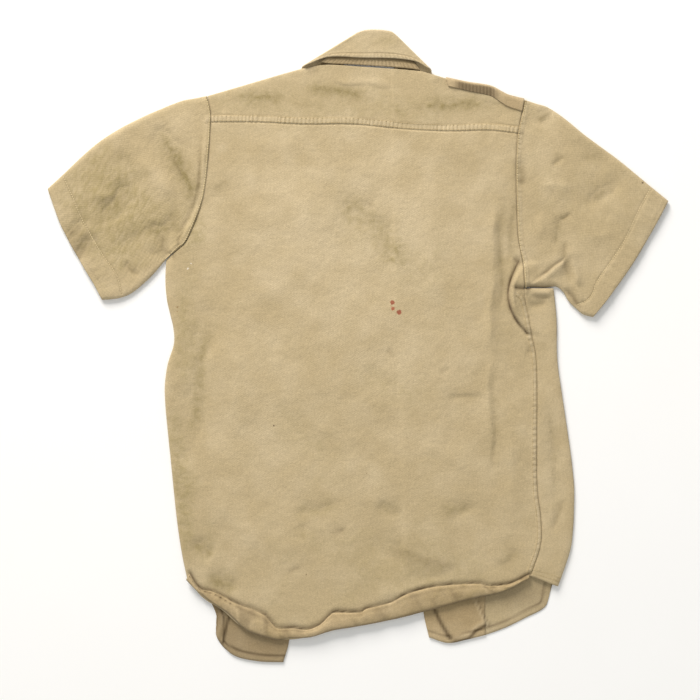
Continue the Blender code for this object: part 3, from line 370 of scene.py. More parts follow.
# The hollow above the turned-up hem of the back, with painted shadow along it.
HEM_SHADOW = [Crease(tuple(Spot(spot.across + 0.8, spot.up + 1.6) for spot in HEM_UPPER), -1.3, 3.0, 3.0,
                     0.1, 0.85, Edge.SEWN, faded_ends=False)]
RELIEF = 1.75                # how much higher and deeper the creases are than the tables say
YOKE_TOP_ROW = 9.3           # the yoke's upper row of stitches, above its seam
SIDE_HEM = spots((231, -303.5), (250, -309), (266, -314.5))
SEAMS = [
    Seam(tuple(YOKE_SEAM), 0.0, 0.9, 0.6, 8.6, 0.55, 5.3),
    Seam(tuple(spot._replace(up=spot.up + YOKE_TOP_ROW) for spot in YOKE_SEAM), 0.5, 0.0, 0, 1, 0.0, 5.3),
    Seam(tuple(LEFT_ARMHOLE), 0.45, 0.9, 1.2, 8.0, 0.12, 7.0),
    Seam(tuple(RIGHT_ARMHOLE), 0.45, 0.7, -6.5, -1.0, 0.30, 6.5),
    Seam(tuple(SIDE_SEAM_LINE), 0.7, 0.6, -6.0, -0.8, 0.50, 8.0),
    Seam(tuple(LEFT_SLEEVE_HEM), 0.8, 0.6, -24.0, -0.6, 0.14, 11.0),
    Seam(tuple(RIGHT_SLEEVE_HEM), 0.8, 0.6, 0.6, 24.0, 0.14, 11.0),
]


class Wave(NamedTuple):
    """One layer of unevenness: its height in millimetres, the size of its swells and its seed."""

    height: float
    size: float
    seed: int


# How the creases' runs are bent, across and up.
BENT_ACROSS = (Wave(3.2, 34.0, 31), Wave(1.3, 12.0, 32))
BENT_UP = (Wave(3.2, 34.0, 33), Wave(1.3, 12.0, 34))
# The swells and small crumples of the whole upper cloth.
CRUMPLES = (Wave(0.85, 74.0, 21), Wave(0.55, 31.0, 22), Wave(0.26, 13.0, 23), Wave(0.07, 6.0, 24))
# How ragged the rims of the broad patches of tone are, as shares of their size.
PATCH_RIM = (Wave(0.5, 40.0, 61), Wave(0.3, 17.0, 62))
PATCH_SPREAD = 1.25          # a patch's tone starts to fall before its rim and ends past it


@dataclass(frozen=True)
class Patch:
    """A broad soft patch of tone that paints large-scale light and shade along with the cloth's uneven
    colour.
    """

    across: float
    up: float
    half_across: float
    half_up: float
    turn: float
    olive: float = 0.0
    fade: float = 0.0
    shade: float = 0.0

    def amount(self, x: np.ndarray, y: np.ndarray) -> np.ndarray:
        """How much of the patch each place has, ragged at its rim."""
        turn = math.radians(self.turn)
        dx, dy = x - self.across, y - self.up
        u = (dx * math.cos(turn) + dy * math.sin(turn)) / self.half_across
        v = (dy * math.cos(turn) - dx * math.sin(turn)) / self.half_up
        return smooth(PATCH_SPREAD - np.hypot(u, v) * (1 + waves(x, y, PATCH_RIM)))


# Paler patches, mostly in the middle, paint where more light falls, and olive ones on the sleeves, the left
# side, the yoke and towards the hem paint where less falls, over the cloth's own uneven colour; the shade
# patches are painted shade by the right armpit and near the left cuff.
PATCHES = [
    Patch(20, 150, 190, 130, 0, fade=0.55),
    Patch(60, 0, 120, 110, 0, fade=0.25),
    Patch(-110, -90, 120, 120, 20, fade=0.25),
    Patch(-320, 190, 110, 60, -35, olive=0.62),
    Patch(-232, -200, 18, 110, 4, olive=0.55),
    Patch(-228, 20, 22, 90, 0, olive=0.4),
    Patch(0, 318, 220, 26, -1, olive=0.22),
    Patch(310, 200, 110, 90, -30, olive=0.12),
    Patch(80, -300, 170, 60, -8, olive=0.25),
    Patch(195, 70, 26, 150, 0, shade=0.06, olive=0.1),
    Patch(262, -150, 22, 150, 0, fade=0.2),
    Patch(-375, 130, 14, 22, -30, shade=0.28),
    Patch(60, 110, 90, 40, -30, olive=0.18),
]


def smooth(share: np.ndarray) -> np.ndarray:
    """Ease from 0 to 1 as a share goes from 0 to 1."""
    share = np.clip(share, 0.0, 1.0)
    return share * share * (3 - 2 * share)


def wander(x: np.ndarray, y: np.ndarray, size: float, seed: int) -> np.ndarray:
    """Smooth unevenness between -1 and 1 that repeats nowhere on the cloth.

    Args:
        x: Places across, in millimetres.
        y: Places up, in millimetres.
        size: Distance between its rises and falls, in millimetres.
        seed: Which unevenness it is.

    Returns:
        One value for each place.
    """
    knots = np.random.default_rng(seed).uniform(-1, 1, (256, 256))
    u, v = x / size + 512.5, y / size + 512.5
    column, row = np.floor(u).astype(int), np.floor(v).astype(int)
    s, t = smooth(u - column), smooth(v - row)
    near = knots[row % 256, column % 256] * (1 - s) + knots[row % 256, (column + 1) % 256] * s
    far = knots[(row + 1) % 256, column % 256] * (1 - s) + knots[(row + 1) % 256, (column + 1) % 256] * s
    return near * (1 - t) + far * t


def waves(x: np.ndarray, y: np.ndarray, layers: Sequence[Wave]) -> np.ndarray:
    """Layers of unevenness, added up.

    Args:
        x: Places across, in millimetres.
        y: Places up, in millimetres.
        layers: The layers.

    Returns:
        One value for each place.
    """
    return sum(layer.height * wander(x, y, layer.size, layer.seed) for layer in layers)


class Curve:
    """A smooth curve through some spots, read by its share of the length."""

    def __init__(self, path: Sequence[Sequence[float]], steps: int = 16) -> None:
        """Work the curve out.

        Args:
            path: Spots that it runs through.
            steps: Points on each span.
        """
        corner = np.array([tuple(spot) for spot in path], dtype=float)
        ends = np.vstack([2 * corner[0] - corner[1], corner, 2 * corner[-1] - corner[-2]])
        shares = np.linspace(0, 1, steps, endpoint=False)[:, None]
        spans = [self.span(ends[i:i + 4], shares) for i in range(len(corner) - 1)]
        self.points = np.vstack(spans + [corner[-1:]])
        run = np.linalg.norm(np.diff(self.points, axis=0), axis=1)
        self.shares = np.concatenate([[0.0], np.cumsum(run)]) / run.sum()
        self.length = float(run.sum())

    @staticmethod
    def span(four: np.ndarray, t: np.ndarray) -> np.ndarray:
        """Points between the middle two of four corners, at shares t of the way."""
        before, start, end, after = four
        leave = 0.5 * (end - before)
        arrive = 0.5 * (after - start)
        return ((2 * t**3 - 3 * t**2 + 1) * start + (t**3 - 2 * t**2 + t) * leave
                + (-2 * t**3 + 3 * t**2) * end + (t**3 - t**2) * arrive)

    def at(self, share: np.ndarray | Sequence[float] | float) -> np.ndarray:
        """Points at some shares of the length."""
        share = np.asarray(share, dtype=float)
        return np.stack([np.interp(share, self.shares, self.points[:, axis]) for axis in (0, 1)], axis=-1)

    def beside(self, x: np.ndarray, y: np.ndarray, reach: float) -> tuple[np.ndarray, ...]:
        """Where places lie beside the curve.

        Args:
            x: Places across.
            y: Places up.
            reach: How far from the curve still matters.

        Returns:
            Indices of the places within reach, their distance to the left of the run, and the length
            reached along it.
        """
        low, high = self.points.min(axis=0) - reach, self.points.max(axis=0) + reach
        found = np.flatnonzero((x > low[0]) & (x < high[0]) & (y > low[1]) & (y < high[1]))
        best = np.full(len(found), np.inf)
        side = np.zeros(len(found))
        along = np.zeros(len(found))
        px, py = x[found], y[found]
        for index in range(len(self.points) - 1):
            start, end = self.points[index], self.points[index + 1]
            run = end - start
            length = math.hypot(*run)
            run = run / length
            ahead = np.clip((px - start[0]) * run[0] + (py - start[1]) * run[1], 0, length)
            dx, dy = px - start[0] - run[0] * ahead, py - start[1] - run[1] * ahead
            away = np.hypot(dx, dy)
            closer = away < best - 1e-9
            best = np.where(closer, away, best)
            side = np.where(closer, np.where(run[0] * dy - run[1] * dx >= 0, away, -away), side)
            along = np.where(closer, self.shares[index] * self.length + ahead, along)
        return found, side, along


def reverse(path: list[Spot]) -> list[Spot]:
    """The same spots from the other end."""
    return list(reversed(path))


class Blend:
    """A four-sided piece of plan, filled in smoothly between its edges (left and right run upwards)."""

    def __init__(self, left: list[Spot], right: list[Spot], bottom: list[Spot], top: list[Spot]) -> None:
        """Take the four edges."""
        self.left, self.right, self.bottom, self.top = Curve(left), Curve(right), Curve(bottom), Curve(top)

    def plan(self, along: Sequence[float], rise: Sequence[float]) -> np.ndarray:
        """Points for every share along each row and every share of the rise, as rows of points."""
        u = np.asarray(along, dtype=float)[None, :, None]
        v = np.asarray(rise, dtype=float)[:, None, None]
        bottom, top = self.bottom.at(along)[None], self.top.at(along)[None]
        left, right = self.left.at(rise)[:, None], self.right.at(rise)[:, None]
        first, last = self.bottom.at([0.0, 1.0]), self.top.at([0.0, 1.0])
        corners = ((1 - u) * (1 - v) * first[0] + u * (1 - v) * first[1]
                   + (1 - u) * v * last[0] + u * v * last[1])
        return (1 - v) * bottom + v * top + (1 - u) * left + u * right - corners


def cells_between(grid: np.ndarray, step: float, axis: int) -> np.ndarray:
    """How many cells no wider than a step each interval of a coarse grid is cut into, along an axis."""
    rows = np.moveaxis(grid, axis, 0)
    gaps = np.linalg.norm(np.diff(rows[..., :2], axis=0), axis=-1)
    return np.maximum(1, np.ceil(gaps.max(axis=1) / step).astype(int))


def filled_in(grid: np.ndarray, step: float, axis: int, counts: np.ndarray | None = None) -> np.ndarray:
    """Smoothly put more rows or columns into a coarse grid.

    Args:
        grid: Rows by columns of points or values, places first.
        step: Widest distance between neighbours, in millimetres.
        axis: 0 for more rows, 1 for more columns.
        counts: Cells for each interval, or None to work them out from the step.

    Returns:
        The finer grid, with the coarse one's points kept.
    """
    rows = np.moveaxis(grid, axis, 0)
    gaps = np.linalg.norm(np.diff(rows[..., :2], axis=0), axis=-1)
    reach = np.maximum(gaps.mean(axis=1), 1e-6)
    knots = np.concatenate([[0.0], np.cumsum(reach)])
    counts = cells_between(grid, step, axis) if counts is None else counts
    slopes = np.empty_like(rows)
    slopes[1:-1] = (rows[2:] - rows[:-2]) / (knots[2:] - knots[:-2])[(...,) + (None,) * (rows.ndim - 1)]
    slopes[0] = (rows[1] - rows[0]) / reach[0]
    slopes[-1] = (rows[-1] - rows[-2]) / reach[-1]
    out = []
    for index, count in enumerate(counts):
        for part in range(count):
            t = part / count
            out.append((2 * t**3 - 3 * t**2 + 1) * rows[index]
                       + (t**3 - 2 * t**2 + t) * slopes[index] * reach[index]
                       + (3 * t**2 - 2 * t**3) * rows[index + 1]
                       + (t**3 - t**2) * slopes[index + 1] * reach[index])
    out.append(rows[-1])
    return np.moveaxis(np.array(out), 0, axis)


BUTTON_EDGE = Curve(reverse(RIGHT_FRONT_EDGE))


class Pleat(NamedTuple):
    """The pleat at the right armpit: a bowed, steep front on its left, and a slow fall to its right."""

    middle: float = 64.0       # up the shirt
    half: float = 48.0         # half its length
    ends: float = 223.0        # where its two ends are, across
    bow: float = 22.0          # how far left of them its front goes
    rise: float = 5.0
    overhang: float = 0.8
    steep: float = 2.8         # width of its front flank
    crown: float = 5.0         # from the front to where it starts to fall
    fall: float = 24.0         # width of its other flank

    def height(self, x: np.ndarray, y: np.ndarray) -> np.ndarray:
        """How much it raises the upper cloth at some places."""
        reach = (y - self.middle) / self.half
        front = self.ends - self.bow * (1 - np.clip(reach, -1, 1) ** 2)
        up = smooth((x - front + self.overhang) / self.steep)
        down = 1 - smooth((x - front - self.crown) / self.fall)
        return self.rise * np.sqrt(np.clip(1 - reach ** 2, 0, 1)) * (up * down)


PLEAT = Pleat()


class Laying:
    """How the shirt's two layers of cloth lie, how their colour has worn, and the shade and highlights
    painted into it.
    """

    BAND_SIDE = 10.0           # flank of the rise over the buttons, at the buttoning edge
    BAND_END = 50.0            # and at its end towards the hem
    CREASE_REACH = 3           # a crease's flanks still count at this many times their width
    CREASE_ENDS = 0.34         # share of a crease's length over which an end dies away
    UNEVEN = (0.22, 24.0, 5)   # how much a crease's height varies, over what length, and the seed
    RAGGED = (0.82, 0.3, 8.0, 35)
    WORN_AND_LIT_FROM = 0.7            # ridges higher than this are paler: partly rubbed wear, partly a painted highlight
    # how much paler such ridges are, wear and painted highlight together
    WORN_AND_LIT = 0.22
    SEAM_REACH = 30.0
    SEAM_STEP = 1.6            # width of the step at either side of a seam's doubled cloth
    SEAM_LINE = 1.4            # width of the sewn line
    ROUND_FADE = 0.30          # how pale the cloth is worn on the shirt's outer folds

    def __init__(self) -> None:
        """Run every crease and seam through its spots."""
        creases = BACK_CREASES + YOKE_CREASES + SLEEVE_CREASES + PLEAT_CREASES + HEM_SHADOW
        self.creases = [(crease, Curve(crease.path, 5)) for crease in creases]
        self.seams = [(seam, Curve(seam.path, 8)) for seam in SEAMS]

    def low(self, x: np.ndarray, y: np.ndarray) -> np.ndarray:
        """Height of the cloth on the table: raised over the collar's wings, the straps and the buttons."""
        inside = 1 - smooth((np.abs(x - CHEST_MIDDLE) - CHEST_HALF) / CHEST_FADE)
        chest = CHEST_LIFT * smooth((y - CHEST_FROM) / CHEST_FADE) * inside
        from_edge = x - np.interp(y, BUTTON_EDGE.points[:, 1], BUTTON_EDGE.points[:, 0])
        band = ((1 - smooth((from_edge - EDGE_BAND) / EDGE_BAND))
                * smooth((from_edge + EDGE_BAND) / self.BAND_SIDE))
        band = band * smooth((y - BAND_FROM) / self.BAND_END)
        return FLOOR_LAYER + np.maximum(chest, (BUTTON_THICK + SEAM_GAP) * band)

    def relief(self, x: np.ndarray, y: np.ndarray) -> tuple[np.ndarray, ...]:
        """Height, olive, painted shade, and paler tone with painted highlights, that the creases and seams
        give the upper cloth.
        """
        flat_x, flat_y = x.ravel(), y.ravel()
        layers = [PLEAT.height(flat_x, flat_y)] + [np.zeros_like(flat_x) for _ in range(3)]
        self.crease(flat_x, flat_y, *layers)
        self.sew(flat_x, flat_y, *layers)
        return tuple(layer.reshape(x.shape) for layer in layers)

    def crease(self, x: np.ndarray, y: np.ndarray, height: np.ndarray, olive: np.ndarray, shade: np.ndarray,
               fade: np.ndarray) -> None:
        """Put the creases into the height and tones of some places.

        Args:
            x: Places across.
            y: Places up.
            height: Their height, which is changed.
            olive: Their olive, which is changed like the two others.
            shade: Their painted shade.
            fade: Their paler tone of wear and painted highlights.
        """
        bent_x, bent_y = x + waves(x, y, BENT_ACROSS), y + waves(x, y, BENT_UP)
        swing, swell, seed = self.UNEVEN
        level, torn, size, torn_seed = self.RAGGED
        for number, (crease, curve) in enumerate(self.creases):
            places = (x, y) if crease.edge is Edge.SEWN else (bent_x, bent_y)
            found, side, along = curve.beside(*places, max(crease.left, crease.right) * self.CREASE_REACH)
            width = np.where(side > 0, crease.left, crease.right)
            uneven = 1 + swing * wander(along, np.full_like(along, 9.0 * number), swell, seed)
            power, steep = crease.edge.value
            fall = np.exp(-(np.abs(side) / width) ** power * steep)
            share = along / curve.length
            ends = smooth(np.minimum(share, 1 - share) / self.CREASE_ENDS) if crease.faded_ends else 1.0
            amount = fall * ends * uneven
            height[found] += RELIEF * crease.height * amount
            # Hollows take olive and painted shade; ridges a paler tone that is partly rubbed wear, partly a
            # painted highlight.
            ragged = amount * (level + torn * wander(bent_x[found], bent_y[found], size, torn_seed))
            olive[found] = np.maximum(olive[found], crease.olive * ragged)
            shade[found] = np.maximum(shade[found], crease.shade * ragged)
            if crease.height > self.WORN_AND_LIT_FROM:
                fade[found] = np.maximum(fade[found], self.WORN_AND_LIT * ragged)

    def sew(self, x: np.ndarray, y: np.ndarray, height: np.ndarray, olive: np.ndarray, shade: np.ndarray,
            fade: np.ndarray) -> None:
        """Put the seams, with their doubled cloth and gathers, into the height and tones of some places.

        Args:
            x: Places across.
            y: Places up.
            height: Their height, which is changed.
            olive: Their olive, which a seam leaves as it is.
            shade: Their painted shade, which is changed like the next.
            fade: Their paler tone of wear and painted highlights.
        """
        half_step = self.SEAM_STEP / 2
        for number, (seam, curve) in enumerate(self.seams):
            found, side, along = curve.beside(x, y, self.SEAM_REACH)
            inside = (smooth((side - seam.start + half_step) / self.SEAM_STEP)
                      * (1 - smooth((side - seam.end + half_step) / self.SEAM_STEP)))
            jitter = wander(along, np.full_like(along, 31.0 * number), seam.pitch * 2.3, 11)
            gather = np.sin(2 * np.pi * along / seam.pitch + 2.0 * jitter) * (0.65 + 0.5 * jitter)
            line = np.exp(-(side / self.SEAM_LINE) ** 2)
            broken = 0.75 + 0.35 * wander(along, np.full_like(along, 17.0 * number), 5.0, 12)
            height[found] += seam.ridge * inside + seam.gather * gather * inside - seam.groove * line
            gathered = inside * (seam.gather > 0.2)
            # Painted shade along the sewn line and in the gathers' hollows; a paler band where they are, with
            # painted highlights on their crests.
            shade[found] = np.maximum(shade[found], 0.42 * min(seam.groove, 1.0) * line * broken)
            shade[found] = np.maximum(shade[found], 0.30 * np.clip(-gather, 0, 1) * gathered)
            fade[found] = np.maximum(fade[found], (0.25 + 0.35 * np.clip(gather, 0, 1)) * gathered)

    def high(self, x: np.ndarray, y: np.ndarray) -> tuple[np.ndarray, ...]:
        """Height of the upper cloth, always clear of the lower, with its olive, painted shade and paler tone.
        """
        height, olive, shade, fade = self.relief(x, y)
        raised = TOP_LAYER + height + waves(x, y, CRUMPLES)
        return np.maximum(raised, self.low(x, y) + LEAST_CLEAR), olive, shade, fade

    def laid(self, plan: np.ndarray, weight: np.ndarray) -> tuple[np.ndarray, np.ndarray]:
        """Cloth between the two layers.

        Args:
            plan: Rows by columns of places.
            weight: -1 for the lower layer, 1 for the upper, and between them round a fold.

        Returns:
            The points in space, and three tones for each: olive, paler (wear and painted highlights) and
            painted shade.
        """
        x, y = plan[..., 0], plan[..., 1]
        low = self.low(x, y)
        high, olive, shade, fade = self.high(x, y)
        z = (high + low) / 2 + weight * (high - low) / 2
        share = smooth((weight + 1) / 2)
        # The broad patches: painted large-scale light and shade over the cloth's uneven colour.
        for patch in PATCHES:
            amount = patch.amount(x, y)
            olive = np.maximum(olive, patch.olive * amount)
            fade = np.maximum(fade, patch.fade * amount)
            shade = np.maximum(shade, patch.shade * amount)
        round_edge = self.ROUND_FADE * (1 - np.abs(weight))
        tones = np.stack([olive * share, fade * share + round_edge, shade * share], axis=-1)
        return np.concatenate([plan, z[..., None]], axis=-1), tones


LAYING = Laying()


def smoothed(data: bpy.types.Mesh) -> bpy.types.Mesh:
    """Shade every face of a mesh smoothly, and give the mesh back."""
    data.polygons.foreach_set("use_smooth", np.ones(len(data.polygons), dtype=bool))
    return data


def placed(data: bpy.types.ID, place: Sequence[float] = (0.0, 0.0, 0.0)) -> bpy.types.Object:
    """Put a mesh, a light or a camera into the scene, as an object of the same name.

    Args:
        data: What the object shows.
        place: Where it stands, in metres.

    Returns:
        The object.
    """
    item = bpy.data.objects.new(data.name, data)
    item.location = place
    bpy.context.collection.objects.link(item)
    return item


class Sheet:
    """Grids of points that are welded into one closed shell of cloth."""

    WELD_CELL = 0.02           # points in the same cell of this size are one point
    WELD_SHIFT = 0.0037        # keeps round numbers off the cells' borders
    RIM_ROUND = 0.55           # how far the rim stands out, as a share of half the wall

    def __init__(self) -> None:
        """Start with nothing."""
        self.points: list[np.ndarray] = []
        self.flats: list[np.ndarray] = []
        self.tones: list[np.ndarray] = []
        self.quads: list[np.ndarray] = []
        self.count = 0

    def add(self, points: np.ndarray, tones: np.ndarray, flat: np.ndarray | None = None,
            under: bool = False) -> None:
        """Add one grid.

        Args:
            points: Rows by columns of places in space, in millimetres.
            tones: Olive, paler (wear and painted highlights) and painted shade for each.
            flat: Places on the flat cloth, or None to use those on the plan.
            under: Whether the columns run away from a fold, on the plan's other side of it.
        """
        rows, columns = points.shape[:2]
        flat = points[..., :2].copy() if flat is None else flat
        if under:
            run = np.linalg.norm(np.diff(points, axis=1), axis=-1)
            reached = np.concatenate([np.zeros((rows, 1)), np.cumsum(run, axis=1)], axis=1)
            flat[..., 0] = points[:, :1, 0] - reached
        number = np.arange(rows * columns).reshape(rows, columns) + self.count
        quads = np.stack([number[:-1, :-1], number[:-1, 1:], number[1:, 1:], number[1:, :-1]], axis=-1)
        self.points.append(points.reshape(-1, 3))
        self.flats.append(flat.reshape(-1, 2))
        self.tones.append(tones.reshape(-1, 3))
        self.quads.append(quads.reshape(-1, 4))
        self.count += rows * columns

    def welded(self) -> tuple[np.ndarray, np.ndarray, np.ndarray, np.ndarray]:
        """Points, flat places, tones and quads, with points that fall together made one."""
        points = np.vstack(self.points)
        keys = np.floor((points + self.WELD_SHIFT) / self.WELD_CELL).astype(np.int64)
        _, first, back = np.unique(keys, axis=0, return_index=True, return_inverse=True)
        quads = back.reshape(-1)[np.vstack(self.quads)]
        ordered = np.sort(quads, axis=1)
        whole = (np.diff(ordered, axis=1) > 0).all(axis=1)
        return points[first], np.vstack(self.flats)[first], np.vstack(self.tones)[first], quads[whole]

    def shell(self, name: str, wall: float) -> bpy.types.Object:
        """Make the closed shell.

        Args:
            name: Name of the piece.
            wall: Thickness of its cloth, in millimetres.

        Returns:
            The object, with its flat places as texture coordinates and its tones as attributes.
        """
        points, flats, tones, quads = self.welded()
        middle = bmesh.new()
        verts = [middle.verts.new(point) for point in points.tolist()]
        for quad in quads.tolist():
            if middle.faces.get([verts[i] for i in quad]) is None:
                middle.faces.new([verts[i] for i in quad])
        bmesh.ops.recalc_face_normals(middle, faces=middle.faces)
        middle.normal_update()
        middle.verts.index_update()
        used = [vert for vert in middle.verts if vert.link_faces]
        place = {vert.index: order for order, vert in enumerate(used)}
        chosen = np.array([vert.index for vert in used])
        normals = np.array([vert.normal for vert in used])
        faces = [[place[vert.index] for vert in face.verts] for face in middle.faces]
        rim = [(place[edge.link_loops[0].vert.index], place[edge.link_loops[0].link_loop_next.vert.index])
               for edge in middle.edges if len(edge.link_faces) == 1]
        middle.free()
        points, flats, tones = points[chosen], flats[chosen], tones[chosen]
        half = wall / 2
        outward = np.zeros_like(points)
        for a, b in rim:
            out = np.cross(points[b] - points[a], normals[a])
            outward[a] += out
            outward[b] += out
        ring = sorted({index for pair in rim for index in pair})
        lengths = np.linalg.norm(outward, axis=1)
        outward[ring] /= np.maximum(lengths[ring], 1e-9)[:, None]
        count = len(points)
        ring_at = {index: 2 * count + order for order, index in enumerate(ring)}
        edge_points = points[ring] + outward[ring] * half * self.RIM_ROUND
        places = np.vstack([points + normals * half, points - normals * half, edge_points])
        shell_faces = faces + [[index + count for index in reversed(face)] for face in faces]
        for a, b in rim:
            shell_faces.append([b, a, ring_at[a], ring_at[b]])
            shell_faces.append([ring_at[b], ring_at[a], a + count, b + count])
        data = bpy.data.meshes.new(name)
        data.from_pydata((places * MM).tolist(), [], shell_faces)
        data.validate()
        whole_flats = np.vstack([flats, flats, flats[ring]]) * MM
        whole_tones = np.vstack([tones, tones, tones[ring]])
        self.dress(data, whole_flats, whole_tones)
        return placed(smoothed(data))

    @staticmethod
    def dress(data: bpy.types.Mesh, flats: np.ndarray, tones: np.ndarray) -> None:
        """Give a mesh its flat places as texture coordinates, and its tones as attributes."""
        corner = np.empty(len(data.loops), dtype=np.int32)
        data.loops.foreach_get("vertex_index", corner)
        uv = data.uv_layers.new(name="flat_cloth")
        uv.data.foreach_set("uv", flats[corner].astype(np.float32).ravel())
        for index, tone in enumerate(("olive", "faded_and_lit", "shaded")):
            layer = data.attributes.new(tone, "FLOAT", "POINT")
            layer.data.foreach_set("value", tones[:, index].astype(np.float32))


def linear(colour: str) -> tuple[float, float, float, float]:
    """An sRGB colour written as #RRGGBB, as linear light with a full alpha."""
    parts = [int(colour[i:i + 2], 16) / 255 for i in (1, 3, 5)]
    light = [part / 12.92 if part <= 0.04045 else ((part + 0.055) / 1.055) ** 2.4 for part in parts]
    return light[0], light[1], light[2], 1.0


def add_node(tree: bpy.types.NodeTree, kind: str, settings: dict | None = None,
             links: dict | None = None) -> bpy.types.Node:
    """Add a node.

    Args:
        tree: Where it goes.
        kind: Its type.
        settings: Values by the name or number of an input, or by the name of a setting.
        links: Outputs of other nodes by the name or number of the input that they feed.

    Returns:
        The new node.
    """
    node = tree.nodes.new(kind)
    for name, value in (settings or {}).items():
        if isinstance(name, int) or name in node.inputs:
            node.inputs[name].default_value = value
        else:
            setattr(node, name, value)
    for name, source in (links or {}).items():
        tree.links.new(source, node.inputs[name])
    return node


def new_material(name: str, values: dict[str, float]) -> tuple[bpy.types.Material, bpy.types.Node]:
    """Start a material.

    Args:
        name: Its name.
        values: Values by the name of an input of its shader.

    Returns:
        The material and its shader.
    """
    made = bpy.data.materials.new(name)
    made.use_nodes = True
    shader = made.node_tree.nodes["Principled BSDF"]
    for key, value in values.items():
        shader.inputs[key].default_value = value
    return made, shader


def mixed(tree: bpy.types.NodeTree, first: object, second: object,
          share: bpy.types.NodeSocket) -> bpy.types.NodeSocket:
    """Mix two colours, each a value or an output, by an output's share."""
    node = add_node(tree, "ShaderNodeMix", {"data_type": "RGBA"}, {0: share})
    for socket, colour in ((node.inputs[6], first), (node.inputs[7], second)):
        if isinstance(colour, tuple):
            socket.default_value = colour
        else:
            tree.links.new(colour, socket)
    return node.outputs[2]


def spread(tree: bpy.types.NodeTree, source: bpy.types.NodeSocket, span: tuple[float, float],
           onto: tuple[float, float]) -> bpy.types.NodeSocket:
    """Stretch an output from one span onto another, held at both ends."""
    settings = {1: span[0], 2: span[1], 3: onto[0], 4: onto[1]}
    return add_node(tree, "ShaderNodeMapRange", settings, {0: source}).outputs[0]


def clouded(tree: bpy.types.NodeTree, place: bpy.types.NodeSocket, scale: float, detail: float,
            **settings: float) -> bpy.types.NodeSocket:
    """Cloudy noise over a place: its scale, its detail and what else is set by the name of an input."""
    settings = {"Scale": scale, "Detail": detail, **settings}
    return add_node(tree, "ShaderNodeTexNoise", settings, {"Vector": place}).outputs[0]


def sums(tree: bpy.types.NodeTree, operation: str, first: bpy.types.NodeSocket, second: object,
         third: object = None) -> bpy.types.NodeSocket:
    """Work out a sum of outputs and values, held between 0 and 1 unless it has three terms."""
    node = add_node(tree, "ShaderNodeMath", {"operation": operation, "use_clamp": third is None}, {0: first})
    for number, term in ((1, second), (2, third)):
        if isinstance(term, float):
            node.inputs[number].default_value = term
        elif term is not None:
            tree.links.new(term, node.inputs[number])
    return node.outputs[0]


class Mark(NamedTuple):
    """A small stain or hole: its place, its reach in millimetres and its colour."""

    across: float
    up: float
    reach: float
    colour: str
    ragged: float


MARKS = [
    Mark(46, 58, 3.6, "#96452E", 1.2), Mark(47, 50, 3.0, "#A04E34", 1.0), Mark(55, 45, 3.8, "#96452E", 1.2),
    Mark(44, 54, 1.2, "#9C5E40", 0.8), Mark(-111, -105, 1.5, "#4A3420", 0.5),
    Mark(-239, 52, 1.8, "#8C6A3C", 0.7), Mark(-239, 46, 1.3, "#8C6A3C", 0.5),
    Mark(-225, 103, 1.7, "#EDE6DA", 1.0), Mark(-221, 110, 1.2, "#EDE6DA", 0.8),
    Mark(378, 217, 1.6, "#5A4630", 1.0), Mark(379, 220, 1.2, "#5A4630", 0.8),
    Mark(-68, -302, 1.3, "#6A5434", 0.5), Mark(-120, -78, 1.0, "#7A6440", 0.4),
    Mark(12, -168, 1.0, "#7A6440", 0.4), Mark(150, 30, 0.9, "#7A6440", 0.4),
]


